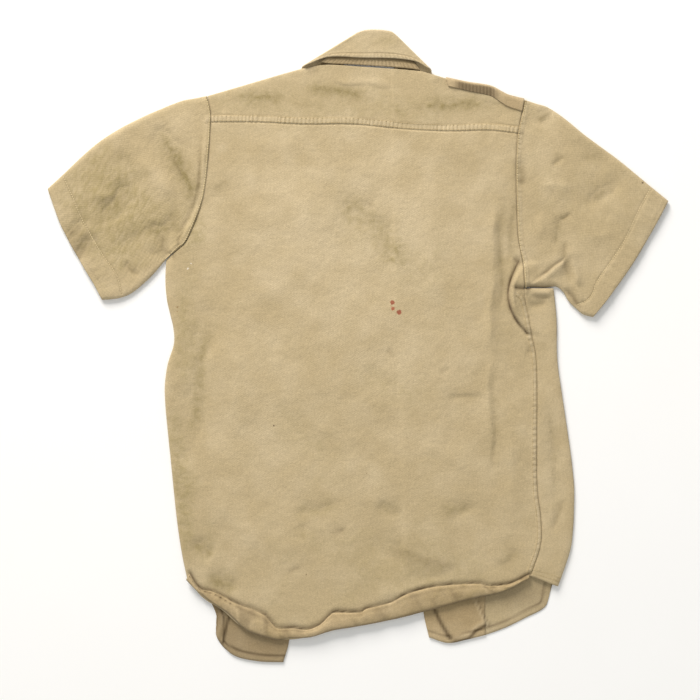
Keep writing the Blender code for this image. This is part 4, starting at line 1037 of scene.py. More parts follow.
@dataclass(frozen=True)
class CottonTwill:
    """Washed and sun-bleached cotton twill: matt, with a fine slanting rib, pale worn edges, and painted
    shade and highlights mixed into its colour.

    Attributes:
        name: Name of the finish.
        faded_and_lit: Colour where wear has bleached it, also used for painted highlights.
        body: Its main colour.
        olive: Colour in the hollows, partly the cloth's unbleached green and partly painted shade.
        deep: Colour of the painted shade in seams, creases and under folds.
        roughness: Micro-roughness of the yarns.
        rib: Distance from rib to rib in millimetres, several times the real 0.6 so that it shows.
        marked: Whether the stains are on it.
    """

    name: str
    faded_and_lit: str
    body: str
    olive: str
    deep: str
    roughness: float = 0.9
    rib: float = 2.3
    marked: bool = False

    def material(self) -> bpy.types.Material:
        """The finish as a material."""
        made, shader = new_material(self.name, {"Roughness": self.roughness, "Specular IOR Level": 0.22,
                                                "Sheen Weight": 0.16, "Sheen Roughness": 0.55})
        tree = made.node_tree
        uv = add_node(tree, "ShaderNodeTexCoord")
        grid, space = (add_node(tree, "ShaderNodeMapping", {"Scale": (1000, 1000, 1000)},
                                {"Vector": uv.outputs[name]}).outputs[0] for name in ("UV", "Object"))
        slant = add_node(tree, "ShaderNodeMapping", {"Rotation": (0, 0, math.radians(58))}, {"Vector": grid})
        rib = add_node(tree, "ShaderNodeTexWave",
                       {"Scale": 2 * math.pi / 20 / self.rib, "Distortion": 0.8, "Detail": 2.0,
                        "Detail Scale": 1.5}, {"Vector": slant.outputs[0]}).outputs["Fac"]
        warp = add_node(tree, "ShaderNodeMapping", {"Scale": (1.0, 0.22, 1.0)}, {"Vector": grid})
        yarn = clouded(tree, warp.outputs[0], 0.42, 3.0, Roughness=0.65)
        pucker = clouded(tree, grid, 0.11, 3.0, Roughness=0.6)
        colour = self.worn(tree, space, pucker)
        colour = self.grained(tree, colour, grid, yarn, rib)
        if self.marked:
            colour = self.stained(tree, colour, space)
        tree.links.new(colour, shader.inputs["Base Color"])
        high = add_node(tree, "ShaderNodeMath", {"operation": "MULTIPLY", 1: 0.07}, {0: rib}).outputs[0]
        high = sums(tree, "MULTIPLY_ADD", yarn, 0.16, high)
        high = sums(tree, "MULTIPLY_ADD", pucker, 1.1, high)
        bump = add_node(tree, "ShaderNodeBump", {"Strength": 0.8, "Distance": MM}, {"Height": high})
        tree.links.new(bump.outputs[0], shader.inputs["Normal"])
        return made

    def worn(self, tree: bpy.types.NodeTree, space: bpy.types.NodeSocket,
             pucker: bpy.types.NodeSocket) -> bpy.types.NodeSocket:
        """The cloth's colour: bleached in clouds and with wear, lit with painted highlights, olive in its
        hollows (partly painted shade) and darkened with painted shade.
        """
        tones = {name: add_node(tree, "ShaderNodeAttribute", {"attribute_name": name}).outputs["Fac"]
                 for name in ("olive", "faded_and_lit", "shaded")}
        cloud = clouded(tree, space, 0.022, 4.0, Roughness=0.55)
        fade = sums(tree, "ADD", spread(tree, cloud, (0.35, 0.68), (-0.12, 0.42)), tones["faded_and_lit"])
        green = sums(tree, "MULTIPLY", spread(tree, pucker, (0.36, 0.64), (0.35, 1.25)), tones["olive"])
        colour = mixed(tree, linear(self.body), linear(self.faded_and_lit), fade)
        colour = mixed(tree, colour, linear(self.olive), green)
        return mixed(tree, colour, linear(self.deep), tones["shaded"])

    @staticmethod
    def grained(tree: bpy.types.NodeTree, colour: bpy.types.NodeSocket, grid: bpy.types.NodeSocket,
                yarn: bpy.types.NodeSocket, rib: bpy.types.NodeSocket) -> bpy.types.NodeSocket:
        """Vary a colour from yarn to yarn, from rib to rib and in the speckle of long washing."""
        speckle = clouded(tree, grid, 0.48, 3.0, Roughness=0.8)
        value = spread(tree, yarn, (0.25, 0.75), (0.94, 1.05))
        for other in (spread(tree, rib, (0.0, 1.0), (0.975, 1.02)),
                      spread(tree, speckle, (0.3, 0.7), (0.84, 1.13))):
            value = add_node(tree, "ShaderNodeMath", {"operation": "MULTIPLY"},
                             {0: value, 1: other}).outputs[0]
        return add_node(tree, "ShaderNodeVectorMath", {"operation": "SCALE"},
                        {0: colour, "Scale": value}).outputs[0]

    def stained(self, tree: bpy.types.NodeTree, colour: bpy.types.NodeSocket,
                place: bpy.types.NodeSocket) -> bpy.types.NodeSocket:
        """Put the stains over a colour."""
        ragged = clouded(tree, place, 0.45, 2.0)
        flat = add_node(tree, "ShaderNodeVectorMath", {"operation": "MULTIPLY", 1: (1, 1, 0)}, {0: place})
        for mark in MARKS:
            away = add_node(tree, "ShaderNodeVectorMath",
                            {"operation": "DISTANCE", 1: (mark.across, mark.up, 0)}, {0: flat.outputs[0]})
            away = sums(tree, "MULTIPLY_ADD", ragged, mark.ragged * 4, away.outputs["Value"])
            inner = mark.reach + mark.ragged * 2
            there = spread(tree, away, (inner, inner - 1.2), (0.0, 0.85))
            colour = mixed(tree, colour, linear(mark.colour), there)
        return colour


@dataclass(frozen=True)
class SewingThread:
    """Cotton sewing thread: matt, a shade paler than the cloth, dulled where it is rubbed."""

    name: str
    colour: str
    worn: str

    def material(self) -> bpy.types.Material:
        """The finish as a material."""
        made, shader = new_material(self.name, {"Roughness": 0.8, "Specular IOR Level": 0.3})
        tree = made.node_tree
        place = add_node(tree, "ShaderNodeTexCoord")
        rubbed = clouded(tree, place.outputs["Object"], 90.0, 3.0)
        colour = mixed(tree, linear(self.colour), linear(self.worn), rubbed)
        tree.links.new(colour, shader.inputs["Base Color"])
        twist = add_node(tree, "ShaderNodeTexWave", {"Scale": 600.0, "bands_direction": "DIAGONAL"},
                         {"Vector": place.outputs["Object"]})
        bump = add_node(tree, "ShaderNodeBump", {"Strength": 0.5, "Distance": 0.0001},
                        {"Height": twist.outputs["Fac"]})
        tree.links.new(bump.outputs[0], shader.inputs["Normal"])
        return made


@dataclass(frozen=True)
class MouldedUrea:
    """Moulded urea plastic, as buttons are: brown with paler swirls, and a low gloss that varies with them.
    """

    name: str
    dark: str
    pale: str

    def material(self) -> bpy.types.Material:
        """The finish as a material."""
        made, shader = new_material(self.name, {"IOR": 1.54})
        tree = made.node_tree
        place = add_node(tree, "ShaderNodeTexCoord")
        swirl = clouded(tree, place.outputs["Object"], 160.0, 4.0, Distortion=1.5)
        colour = mixed(tree, linear(self.dark), linear(self.pale), swirl)
        tree.links.new(colour, shader.inputs["Base Color"])
        dull = spread(tree, swirl, (0.3, 0.7), (0.32, 0.55))
        tree.links.new(dull, shader.inputs["Roughness"])
        return made


# The sun-bleached outer face: a warm, quite matt tan. Its olive in hollows and broad patches is partly its
# own colour and partly painted shade; its paler colour also paints highlights.
OUTSIDE = CottonTwill("faded_khaki_cotton_twill", "#CBB996", "#B9A680", "#9C8C60", "#54422A", marked=True)
# The inner face has seen less sun, so it is browner, with less bleaching, and duller still.
INSIDE = CottonTwill("khaki_cotton_twill_inside", "#C4AF8A", "#AC966F", "#948152", "#4A3A22", roughness=0.92)
# The sleeves' hems are sewn with a paler thread, whose rows stand out as light dashes.
THREAD = SewingThread("khaki_sewing_thread", "#E0D0A8", "#C9B68A")
# In the long seams the thread is rubbed and has taken up grime, so that it nearly sinks into the cloth.
SEAM_THREAD = SewingThread("worn_khaki_thread", "#C9B68C", "#9C8658")
# Buttons: dark brown with a swirl, and just enough gloss to tell them from the cloth.
UREA = MouldedUrea("brown_moulded_urea", "#3A2416", "#6B4A2E")


class Finishes:
    """Every finish of the shirt, made once."""

    def __init__(self) -> None:
        """Make the materials."""
        self.outside = OUTSIDE.material()
        self.inside = INSIDE.material()
        self.thread = THREAD.material()
        self.seam_thread = SEAM_THREAD.material()
        self.urea = UREA.material()


def declare(item: bpy.types.Object, finish: bpy.types.Material, slot: str, *nodes: str) -> bpy.types.Object:
    """Give a piece its finish and say what it rides on and stands for.

    Args:
        item: The piece.
        finish: Its material.
        slot: The record's material slot; not used.
        nodes: Solids that it stands for.

    Returns:
        The piece.
    """
    item.data.materials.append(finish)
    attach(item, "root")
    if nodes:
        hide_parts(*nodes)
    LOG.info("%s: %d faces", item.name, len(item.data.polygons))
    return item


def fold_stations(degrees: Sequence[float]) -> tuple[np.ndarray, np.ndarray]:
    """Distance in from a fold and weight between the layers, for angles round it."""
    angle = np.radians(np.asarray(degrees, dtype=float))
    return CLOTH / 2 + FOLD_REACH * (1 - np.cos(angle)), np.sin(angle)


LOW_ROWS = np.concatenate([np.linspace(0, 0.74, 12), np.linspace(0.79, 1.0, 6)])
ARMHOLE_ROWS = np.array([0.0, 0.05, 0.17, 0.33, 0.50, 0.67, 0.84, 1.0])
YOKE_ROWS = np.array([0.0, 0.35])
FOLD_IN, FOLD_WEIGHT = fold_stations([0, 12, 24, 36, 50, 68, 90])


def part_of(curve: Curve, start: float, end: float, count: int = 30) -> list[Spot]:
    """Spots along a part of a curve."""
    return spots(*map(tuple, curve.at(np.linspace(start, end, count)).tolist()))


def share_at_height(curve: Curve, up: float) -> float:
    """Share of a rising curve's length at a height."""
    return float(np.interp(up, curve.points[:, 1], curve.shares))


def way_in_from(curve: Curve, rows: np.ndarray, side: int) -> np.ndarray:
    """Unit direction in from a rising edge, for cloth on its given side (1 right, -1 left)."""
    ahead = curve.at(np.clip(rows + 0.01, 0, 1)) - curve.at(np.clip(rows - 0.01, 0, 1))
    ahead /= np.linalg.norm(ahead, axis=1)[:, None]
    return side * np.stack([ahead[:, 1], -ahead[:, 0]], axis=1)


def pulled_to(plan: np.ndarray, target: np.ndarray) -> np.ndarray:
    """Move the first column onto its target and the others less and less."""
    share = np.linspace(1, 0, plan.shape[1])[None, :, None] ** 2
    return plan + (target - plan[:, 0])[:, None] * share


def fine(plan: np.ndarray, weight: np.ndarray, across: float, up: float, columns: np.ndarray | None = None,
         rows: np.ndarray | None = None) -> tuple[np.ndarray, np.ndarray]:
    """Fill a coarse plan and its weights in to cells of a given size, or to given counts of cells."""
    whole = np.concatenate([plan, np.broadcast_to(weight, plan.shape[:2])[..., None]], axis=-1)
    whole = filled_in(filled_in(whole, across, 1, columns), up, 0, rows)
    return whole[..., :2], np.clip(whole[..., 2], -1, 1)


class Armhole:
    """One armhole seam and the places on it where the rows of cloth on both sides meet."""

    def __init__(self, path: list[Spot], seam_up: float) -> None:
        """Take the seam's spots and the height at which the yoke's seam meets it."""
        self.curve = Curve(path)
        self.seam_share = share_at_height(self.curve, seam_up)
        self.below_yoke = part_of(self.curve, 0, self.seam_share)
        self.beside_yoke = part_of(self.curve, self.seam_share, 1)
        self.wrap_share = 1 - (SHOULDER_WRAP + UNDER_GAP) / self.curve.length

    def rows(self) -> np.ndarray:
        """Shares of the whole armhole for the rows below the yoke and on it."""
        beside = self.seam_share + YOKE_ROWS[1:] * (1 - self.seam_share)
        return np.concatenate([ARMHOLE_ROWS * self.seam_share, beside])

    def fold_rows(self) -> np.ndarray:
        """Shares for the rows round the shoulder's fold."""
        return 1 - FOLD_IN[::-1] / self.curve.length


LEFT_ARM = Armhole(LEFT_ARMHOLE, YOKE_SEAM[0].up)
RIGHT_ARM = Armhole(RIGHT_ARMHOLE, YOKE_SEAM[-1].up)


@dataclass
class Yoke:
    """The yoke over both shoulders, folded down onto the chest in front, up to the collar's seam.

    Attributes:
        cell: Size of its faces.
        flat: Its flat size in metres; not used.
        neck_shares: Where the collar starts and ends, as shares of its width.
        last_row: How far from the shoulders' edge its last row before the fold is.
    """

    cell: float = 1.7
    flat: tuple[float, float] = (0.424, 0.105)
    neck_shares: tuple[float, float] = (0.32, 0.72)
    last_row: float = 24.0

    def columns(self) -> np.ndarray:
        """Shares across the back, closer together at the folds on its right."""
        width = Curve(CHEST).length
        return np.concatenate([FOLD_IN, np.linspace(32, 405, 14), [418, 429, 437, 446, 455, 464],
                               [width - HALF_GAP]]) / width

    def plan(self) -> tuple[np.ndarray, np.ndarray, np.ndarray]:
        """Rows of the plan up to the top edge, which columns end in a folded shoulder, and each way down."""
        left, right = Curve(LEFT_SHOULDER), Curve(RIGHT_SHOULDER)
        seam = Curve(YOKE_SEAM)
        top_edge = LEFT_SHOULDER + NECK[1:] + RIGHT_SHOULDER[1:]
        top = Curve(top_edge)
        marks = self.columns()[len(FOLD_IN):-1]
        columns = np.concatenate([[HALF_GAP / seam.length], marks, [1 - HALF_GAP / seam.length]])
        neck_first, neck_last = (int(np.argmin(np.abs(columns - share))) for share in self.neck_shares)
        ends = [left.length / top.length, 1 - right.length / top.length]
        top_shares = np.interp(columns, [0, columns[neck_first], columns[neck_last], 1], [0, *ends, 1])
        blend = Blend(LEFT_ARM.beside_yoke, RIGHT_ARM.beside_yoke, YOKE_SEAM, top_edge)
        bottom = seam.at(columns) + np.array([0.0, HALF_GAP])
        edge = top.at(top_shares)
        way_down = blend.plan(columns, [YOKE_ROWS[1]])[0] - edge
        for column, line in ((neck_first, LEFT_NECKLINE), (neck_last, RIGHT_NECKLINE)):
            way_down[column] = np.array(line[1]) - np.array(line[0])
        way_down /= np.linalg.norm(way_down, axis=1)[:, None]
        rows = [bottom, bottom + (edge - bottom) * YOKE_ROWS[1], edge + way_down * self.last_row]
        rows[1][[0, -1]] = blend.plan([0, 1], [YOKE_ROWS[1]])[0]
        rows += [edge + way_down * distance for distance in FOLD_IN[::-1]]
        numbers = np.arange(len(columns))
        folded = (numbers <= neck_first) | (numbers >= neck_last)
        inset = np.zeros((len(rows), len(columns), 2))
        inset[:, 0, 0], inset[:, -1, 0] = HALF_GAP, -HALF_GAP
        plan = np.stack(rows) + inset
        short = np.linalg.norm(bottom - edge, axis=1) < 50
        plan[2, short] = (plan[1, short] + plan[3, short]) / 2
        return plan, folded, way_down

    def build(self, finishes: Finishes) -> bpy.types.Object:
        """Make the yoke and dress it."""
        sheet = Sheet()
        plan, folded, way_down = self.plan()
        weight = np.ones(plan.shape[:2])
        weight[-len(FOLD_WEIGHT):, folded] = FOLD_WEIGHT[::-1][:, None]
        cells = cells_between(plan, self.cell, 1)
        upper, weights = fine(plan, weight, self.cell, self.cell, cells)
        sheet.add(*LAYING.laid(upper, weights))
        starts = np.concatenate([[0], np.cumsum(cells)])
        for chosen in self.halves(folded):
            rows = [plan[-1, chosen] + way_down[chosen] * distance for distance in FOLD_IN - FOLD_IN[0]]
            rows.append(plan[-1, chosen] + way_down[chosen] * SHOULDER_WRAP)
            under = -np.concatenate([FOLD_WEIGHT, [1.0]])[:, None]
            places, weights = fine(np.stack(rows), under, self.cell, self.cell, cells[chosen[:-1]])
            places[0] = upper[-1, starts[chosen[0]]:starts[chosen[-1]] + 1]
            sheet.add(*LAYING.laid(places, weights))
        item = sheet.shell("yoke_twill", CLOTH)
        return declare(item, finishes.outside, "khaki_twill", "yoke")

    @staticmethod
    def halves(folded: np.ndarray) -> list[np.ndarray]:
        """The columns of the left shoulder and those of the right."""
        numbers = np.flatnonzero(folded)
        cut = int(np.argmax(np.diff(numbers))) + 1
        return [numbers[:cut], numbers[cut:]]


YOKE = Yoke()


@dataclass
class Back:
    """The back panel and its wrap under the left side."""

    cell: float = 3.3
    flat: tuple[float, float] = (0.545, 0.690)
    low: Blend = field(default_factory=lambda: Blend(reverse(LEFT_SIDE), reverse(SIDE_SEAM), BACK_HEM, CHEST))
    high: Blend = field(default_factory=lambda: Blend(LEFT_ARM.below_yoke, RIGHT_ARM.below_yoke,
                                                      CHEST, YOKE_SEAM))

    def under_left_fold(self, distance: float) -> np.ndarray:
        """Plan points in from the left fold, on every row below the armpit."""
        start = self.low.plan(YOKE.columns()[:1], LOW_ROWS)[:, 0]
        tight = 1 - 0.55 * smooth((LOW_ROWS - 0.7) / 0.3)
        return start + way_in_from(self.low.left, LOW_ROWS, 1) * (distance * tight)[:, None]

    def build(self, finishes: Finishes) -> bpy.types.Object:
        """Make the back and dress it."""
        sheet = Sheet()
        columns = YOKE.columns()
        weights = np.concatenate([FOLD_WEIGHT, np.ones(len(columns) - len(FOLD_WEIGHT))])
        low = self.low.plan(columns, LOW_ROWS)
        rows = cells_between(low, self.cell, 0)
        rise = ARMHOLE_ROWS.copy()
        rise[-1] -= HALF_GAP / self.high.left.length
        high = self.high.plan(columns, rise)
        high[0] = low[-1]
        high[1:, :len(FOLD_IN), 0] += HALF_GAP - CLOTH / 2
        cells = np.maximum(cells_between(low, self.cell, 1), cells_between(high, self.cell, 1))
        cells[-7:] = np.ceil(cells[-7:] * 2.1).astype(int)
        flat_low, laid = fine(low, weights[None, :], self.cell, self.cell, cells, rows)
        sheet.add(*LAYING.laid(flat_low, laid))
        laid_low = laid[-1]
        wrapped = [(self.under_left_fold(distance), -weight)
                   for distance, weight in zip(FOLD_IN - FOLD_IN[0], FOLD_WEIGHT)]
        wrapped.append((self.under_left_fold(SIDE_WRAP), -1.0))
        plan = np.stack([row for row, _ in wrapped], axis=1)
        under = np.array([weight for _, weight in wrapped])
        places, laid = fine(plan, under[None, :], self.cell, self.cell, None, rows)
        places[:, 0] = flat_low[:, 0]
        sheet.add(*LAYING.laid(places, laid), under=True)
        places, _ = fine(high, np.ones((1, 1)), self.cell, self.cell, cells)
        places[0] = flat_low[-1]
        corner = np.hypot(places[..., 0] - places[:, :1, 0], places[..., 1] - places[:1, :, 1])
        bend = np.clip(corner / FOLD_REACH, 0, 1)
        laid_high = np.sqrt(1 - (1 - bend) ** 2)
        laid_high[0] = laid_low
        sheet.add(*LAYING.laid(places, laid_high))
        item = sheet.shell("back_twill", CLOTH)
        return declare(item, finishes.outside, "khaki_twill", "back")


BACK = Back()


@dataclass
class TurnedHem:
    """The back's hem, rolled up onto the back and pressed, twisted narrow in two places.

    Attributes:
        cell: Size of its faces.
        rise: Height of its roll.
        clear: How far its cloth's middle starts above that of the back.
        seam: Where its sewing runs and how wide its groove is, as shares of its width.
        seam_depth: Depth of that groove.
        holes: Pitch of the torn stitches' holes, and how far along they go.
        flat: Its flat size in metres; not used.
        across: Its columns, as shares of its width.
        heights: How high each column is, as a share of its rise.
    """

    cell: float = 1.5
    rise: float = 2.7
    clear: float = 0.9
    seam: tuple[float, float] = (0.80, 0.07)
    seam_depth: float = 0.55
    holes: tuple[float, float] = (7.5, 75.0)
    flat: tuple[float, float] = (0.540, 0.022)
    across: tuple[float, ...] = (0.0, 0.06, 0.16, 0.32, 0.5, 0.68, 0.84, 0.94, 1.0)
    heights: tuple[float, ...] = (0.25, 0.55, 0.80, 0.95, 1.0, 0.92, 0.74, 0.60, 0.50)

    def build(self, finishes: Finishes) -> bpy.types.Object:
        """Make the hem and dress it."""
        upper, lower = Curve(HEM_UPPER), Curve(HEM_LOWER)
        count = int(upper.length / self.cell)
        marks = np.linspace(0, 1, count)
        top, bottom = upper.at(marks), lower.at(marks)
        share = np.array(self.across)[:, None, None]
        plan = bottom[None] + (top - bottom)[None] * share
        width = np.linalg.norm(top - bottom, axis=1)
        x, y = plan[..., 0], plan[..., 1]
        base = LAYING.high(x, y)[0]
        along = np.broadcast_to(marks * upper.length, x.shape)
        height = np.array(self.heights)[:, None] * self.rise * np.clip(width / 14, 0.75, 1.1)[None]
        gather = (0.50 * wander(along + 6 * share[..., 0], x * 0, 9.0, 71)
                  + 0.45 * wander(along, x * 0, 24.0, 72))
        crushed = np.abs(wander(along + 14 * share[..., 0], share[..., 0] * 16, 10.0, 75))
        gather = gather + 0.8 * (0.35 - crushed)
        seam, groove = self.seam
        stitched = np.exp(-((share[..., 0] - seam) / groove) ** 2)
        twisted = np.clip((9.0 - width) / 4, 0, 1)[None] * wander(along, share[..., 0] * 40, 9.0, 73)
        z = base + self.clear + height + gather - self.seam_depth * stitched + 0.7 * twisted
        pitch, torn_to = self.holes
        hole = 0.5 + 0.5 * np.sin(2 * np.pi * along / pitch)
        holes = stitched * smooth((hole - 0.55) / 0.3) * (along < torn_to)
        # Dark torn stitch holes, and painted shade in the sewn groove, the gathers' hollows and along the
        # roll's lower edge.
        shade = np.clip(0.75 * holes + 0.25 * stitched + 0.3 * np.clip(-gather * 2, 0, 1), 0, 1)
        shade = np.maximum(shade, 0.55 * np.exp(-(share[..., 0] / 0.10) ** 2))
        tones = np.stack([0.15 + 0.2 * wander(along, x * 0, 40.0, 74), 0.35 + 0 * x, shade], axis=-1)
        sheet = Sheet()
        sheet.add(np.concatenate([plan, z[..., None]], axis=-1), tones)
        item = sheet.shell("hem_back_twill", CLOTH)
        return declare(item, finishes.inside, "khaki_twill_inside", "hem_back")


def split_at(path: list[Spot], up: float) -> tuple[list[Spot], list[Spot]]:
    """A rising edge cut in two at a height."""
    curve = Curve(path)
    middle = Spot(float(np.interp(up, curve.points[:, 1], curve.points[:, 0])), float(up))
    return ([spot for spot in path if spot.up < up - 8] + [middle],
            [middle] + [spot for spot in path if spot.up > up + 8])


@dataclass
class Fronts:
    """The two fronts underneath, with their facings, as they spread under the back."""

    cell: float = 3.4
    near: float = 2.2

    def yoke_end(self, right_side: bool) -> Spot:
        """The spot just below the yoke's wrapped cloth, beside the armhole."""
        plan, _, way_down = YOKE.plan()
        column = -1 if right_side else 0
        return Spot(*(plan[-1, column] + way_down[column] * (SHOULDER_WRAP + UNDER_GAP)))

    def under_yoke(self, right_side: bool) -> list[Spot]:
        """Spots just below the yoke's wrapped cloth on one shoulder, between its ends."""
        plan, folded, way_down = YOKE.plan()
        line = plan[-1] + way_down * (SHOULDER_WRAP + UNDER_GAP - CLOTH / 2)
        chosen = np.flatnonzero(folded & ((plan[-1, :, 0] > 0) == right_side))[1:-1]
        return spots(*map(tuple, line[chosen].tolist()))

    def upper(self, arm: Armhole, inner_edge: list[Spot], chest: np.ndarray, columns: np.ndarray,
              inner_first: bool, neck_up: float) -> np.ndarray:
        """Plan of a front above the armpit.

        Args:
            arm: The armhole beside it.
            inner_edge: Its buttoning edge and neckline, going up.
            chest: Its row at the armpit.
            columns: Shares across it.
            inner_first: Whether the buttoning side starts a row.
            neck_up: Height of the corner between the buttoning edge and the neckline.

        Returns:
            Rows of places.
        """
        outer = part_of(arm.curve, 0, arm.wrap_share)
        inner_curve = Curve(inner_edge)
        cut = 1 - (SHOULDER_WRAP + UNDER_GAP) / inner_curve.length
        inner = part_of(inner_curve, 0, cut)
        outer[-1] = self.yoke_end(inner_first)
        left, right = (inner, outer) if inner_first else (outer, inner)
        top = [left[-1]] + self.under_yoke(inner_first) + [right[-1]]
        rows = arm.rows()
        rows = np.concatenate([rows[rows < arm.wrap_share - 0.02], [arm.wrap_share]]) / arm.wrap_share
        plan = Blend(left, right, spots(*map(tuple, chest.tolist())), top).plan(columns, rows)
        corner = share_at_height(inner_curve, neck_up)
        nearest = int(np.argmin(np.abs(rows * cut - corner)))
        matched = inner_curve.at(np.interp(rows, [0, rows[nearest], 1], [0, corner, cut]))
        plan = pulled_to(plan, matched) if inner_first else pulled_to(plan[:, ::-1], matched)[:, ::-1]
        plan[0] = chest
        return plan

    def left_plan(self) -> tuple[np.ndarray, np.ndarray]:
        """Plan rows of the left front's lower and upper half."""
        seam = BACK.under_left_fold(SIDE_WRAP) + way_in_from(BACK.low.left, LOW_ROWS, 1) * SEAM_GAP
        lower_edge, upper_edge = split_at(reverse(LEFT_FRONT_EDGE), 100)
        width = upper_edge[0].across - seam[-1, 0]
        facing = 1 - LEFT_FACING_WIDTH * FACING_SHARES[::-1] / width
        columns = np.concatenate([np.linspace(0, facing[0], 4)[:-1], facing])
        chest = [Spot(*seam[-1]), Spot((seam[-1, 0] + upper_edge[0].across) / 2, 104), upper_edge[0]]
        tail = [Spot(*seam[0])] + LEFT_TAIL[1:]
        low = Blend(spots(*map(tuple, seam.tolist())), lower_edge, tail, chest).plan(columns, LOW_ROWS)
        low = pulled_to(low, seam)
        inner = upper_edge + reverse(LEFT_NECKLINE)[1:]
        high = self.upper(LEFT_ARM, inner, low[-1], columns, False, LEFT_FRONT_EDGE[0].up)
        high[1:, 0, 0] += HALF_GAP
        high[1:, -1, 0] -= NECK_EASE
        return low, high

    def right_stations(self) -> np.ndarray:
        """Plan points in from the right fold, from its inner end to the fold, on every row."""
        top_up = RIGHT_SIDE[0].up - SEAM_GAP
        side = Curve(reverse(RIGHT_SIDE)[:-1] + [Spot(RIGHT_SIDE[0].across, top_up)])
        inward = way_in_from(side, LOW_ROWS, -1)
        inward[-1] = (-1.0, 0.0)
        return side.at(LOW_ROWS)[:, None] + inward[:, None] * FOLD_IN[::-1][None, :, None]

    def right_plan(self) -> tuple[np.ndarray, np.ndarray]:
        """Plan rows of the right front's lower half, in to its fold, and of its upper half."""
        lower_edge, upper_edge = split_at(reverse(RIGHT_FRONT_EDGE), 90)
        bend = self.right_stations()[:, 0]
        arm_across = RIGHT_ARMHOLE[0].across
        chest = [upper_edge[0], Spot(150, 83), Spot(arm_across, bend[-1, 1]), Spot(*bend[-1])]
        low = Blend(lower_edge, spots(*map(tuple, bend.tolist())), RIGHT_TAIL[:-1] + [Spot(*bend[0])], chest)
        inner = (arm_across - upper_edge[0].across) / (bend[-1, 0] - upper_edge[0].across)
        facing = RIGHT_FACING_WIDTH * FACING_SHARES / low.top.length
        main = np.concatenate([facing, np.linspace(facing[-1], inner, 4)[1:]])
        plan = low.plan(np.concatenate([main, [(inner + 1) / 2, 1.0]]), LOW_ROWS)
        plan[:, -1] = bend
        neck_side = upper_edge + reverse(RIGHT_NECKLINE)[1:]
        high = self.upper(RIGHT_ARM, neck_side, plan[-1, :len(main)], main / inner, True,
                          RIGHT_FRONT_EDGE[0].up)
        high[1:, -1, 0] -= HALF_GAP
        high[1:, 0, 0] += NECK_EASE
        return plan, high

    def build_left(self, finishes: Finishes) -> bpy.types.Object:
        """Make the left front and dress it."""
        sheet = Sheet()
        low, high = self.left_plan()
        cells = np.maximum(cells_between(low, self.cell, 1), cells_between(high, self.cell, 1))
        self.add_low(sheet, low, 0.0, cells)
        self.add_low(sheet, high, 0.0, cells)
        item = sheet.shell("front_left_twill", CLOTH)
        return declare(item, finishes.inside, "khaki_twill", "front_left")

    def add_low(self, sheet: Sheet, plan: np.ndarray, lift: float, columns: np.ndarray,
                rows: np.ndarray | None = None) -> None:
        """Add a half of a front on the lower layer, lifted off it for a facing.

        Args:
            sheet: What it is added to.
            plan: Its coarse rows of places.
            lift: How much higher than the lower layer it lies.
            columns: Cells for each interval across.
            rows: Cells for each interval up, or None to work them out.
        """
        places, weight = fine(plan, np.full((1, 1), -1.0), self.cell, self.cell, columns, rows)
        points, tones = LAYING.laid(places, weight)
        x, y = points[..., 0], points[..., 1]
        points[..., 2] += lift
        hem_left = self.tail_line(x, y, LEFT_TAIL)
        hem_right = self.tail_line(x, y, RIGHT_TAIL)
        # Painted shade on the tails below the back's hem: mottled in a band near it, over the whole left
        # tail, faint on the right.
        under = smooth((-300 - y) / 20) * smooth((y + 372 + 0.1 * np.abs(x)) / 26)
        tail = smooth((-300 - y) / 20)
        shade = 0.35 * wander(x, y, 60.0, 81) ** 2 * under + np.where(x < 0, 0.34 * tail, 0.06 * under)
        # Each tail fold paints a shadow line, or a raised line with a painted highlight.
        for fold in TAIL_FOLDS:
            near = self.tail_line(x, y, list(fold.path), fold.left, 0.0)
            points[..., 2] += np.maximum(fold.height, 0.0) * near
            shade = np.maximum(shade, fold.shade * near)
            tones[..., 1] = np.maximum(tones[..., 1], 0.8 * np.sign(max(fold.height, 0.0)) * near)
        tones[..., 2] = np.maximum(tones[..., 2], np.clip(shade + 0.45 * (hem_left + hem_right), 0, 1))
        tones[..., 1] = np.maximum(tones[..., 1], 0.35 * smooth((-360 - y) / 30))
        sheet.add(points, tones)

    @staticmethod
    def tail_line(x: np.ndarray, y: np.ndarray, path: list[Spot], width: float = 1.5,
                  inset: float = 8.5) -> np.ndarray:
        """How near places are to a line at an inset from a path, such as the sewn line of a tail's hem."""
        near = np.zeros(x.size)
        found, side, _ = Curve(path, 6).beside(x.ravel(), y.ravel(), 16.0)
        near[found] = np.exp(-((np.abs(side) - inset) / width) ** 2)
        return near.reshape(x.shape)

    def build_right(self, finishes: Finishes) -> bpy.types.Object:
        """Make the right front, with its cloth that comes round onto the upper side."""
        sheet = Sheet()
        low, high = self.right_plan()
        rows = cells_between(low, self.cell, 0)
        cells = cells_between(low, self.cell, 1)
        self.add_low(sheet, low, 0.0, cells, rows)
        self.add_low(sheet, high, 0.0, cells[:-2])
        stations = self.right_stations()
        places, weight = fine(stations, -FOLD_WEIGHT[::-1][None, :], self.near, self.cell, None, rows)
        sheet.add(*LAYING.laid(places, weight))
        seam = BACK.low.plan([1.0], LOW_ROWS)[:, 0] + np.array([HALF_GAP, 0.0])
        seam[-1, 1] = stations[-1, 0, 1]
        columns = [stations[:, -1 - index] for index in range(len(FOLD_WEIGHT))]
        columns += [(stations[:, 0] + seam) / 2, seam]
        weights = np.concatenate([FOLD_WEIGHT, [1.0, 1.0]])
        places, weight = fine(np.stack(columns, axis=1), weights[None, :], self.near, self.cell, None, rows)
        points, tones = LAYING.laid(places, weight)
        sheet.add(points, tones, under=True)
        item = sheet.shell("front_right_twill", CLOTH)
        return declare(item, finishes.outside, "khaki_twill", "front_right")

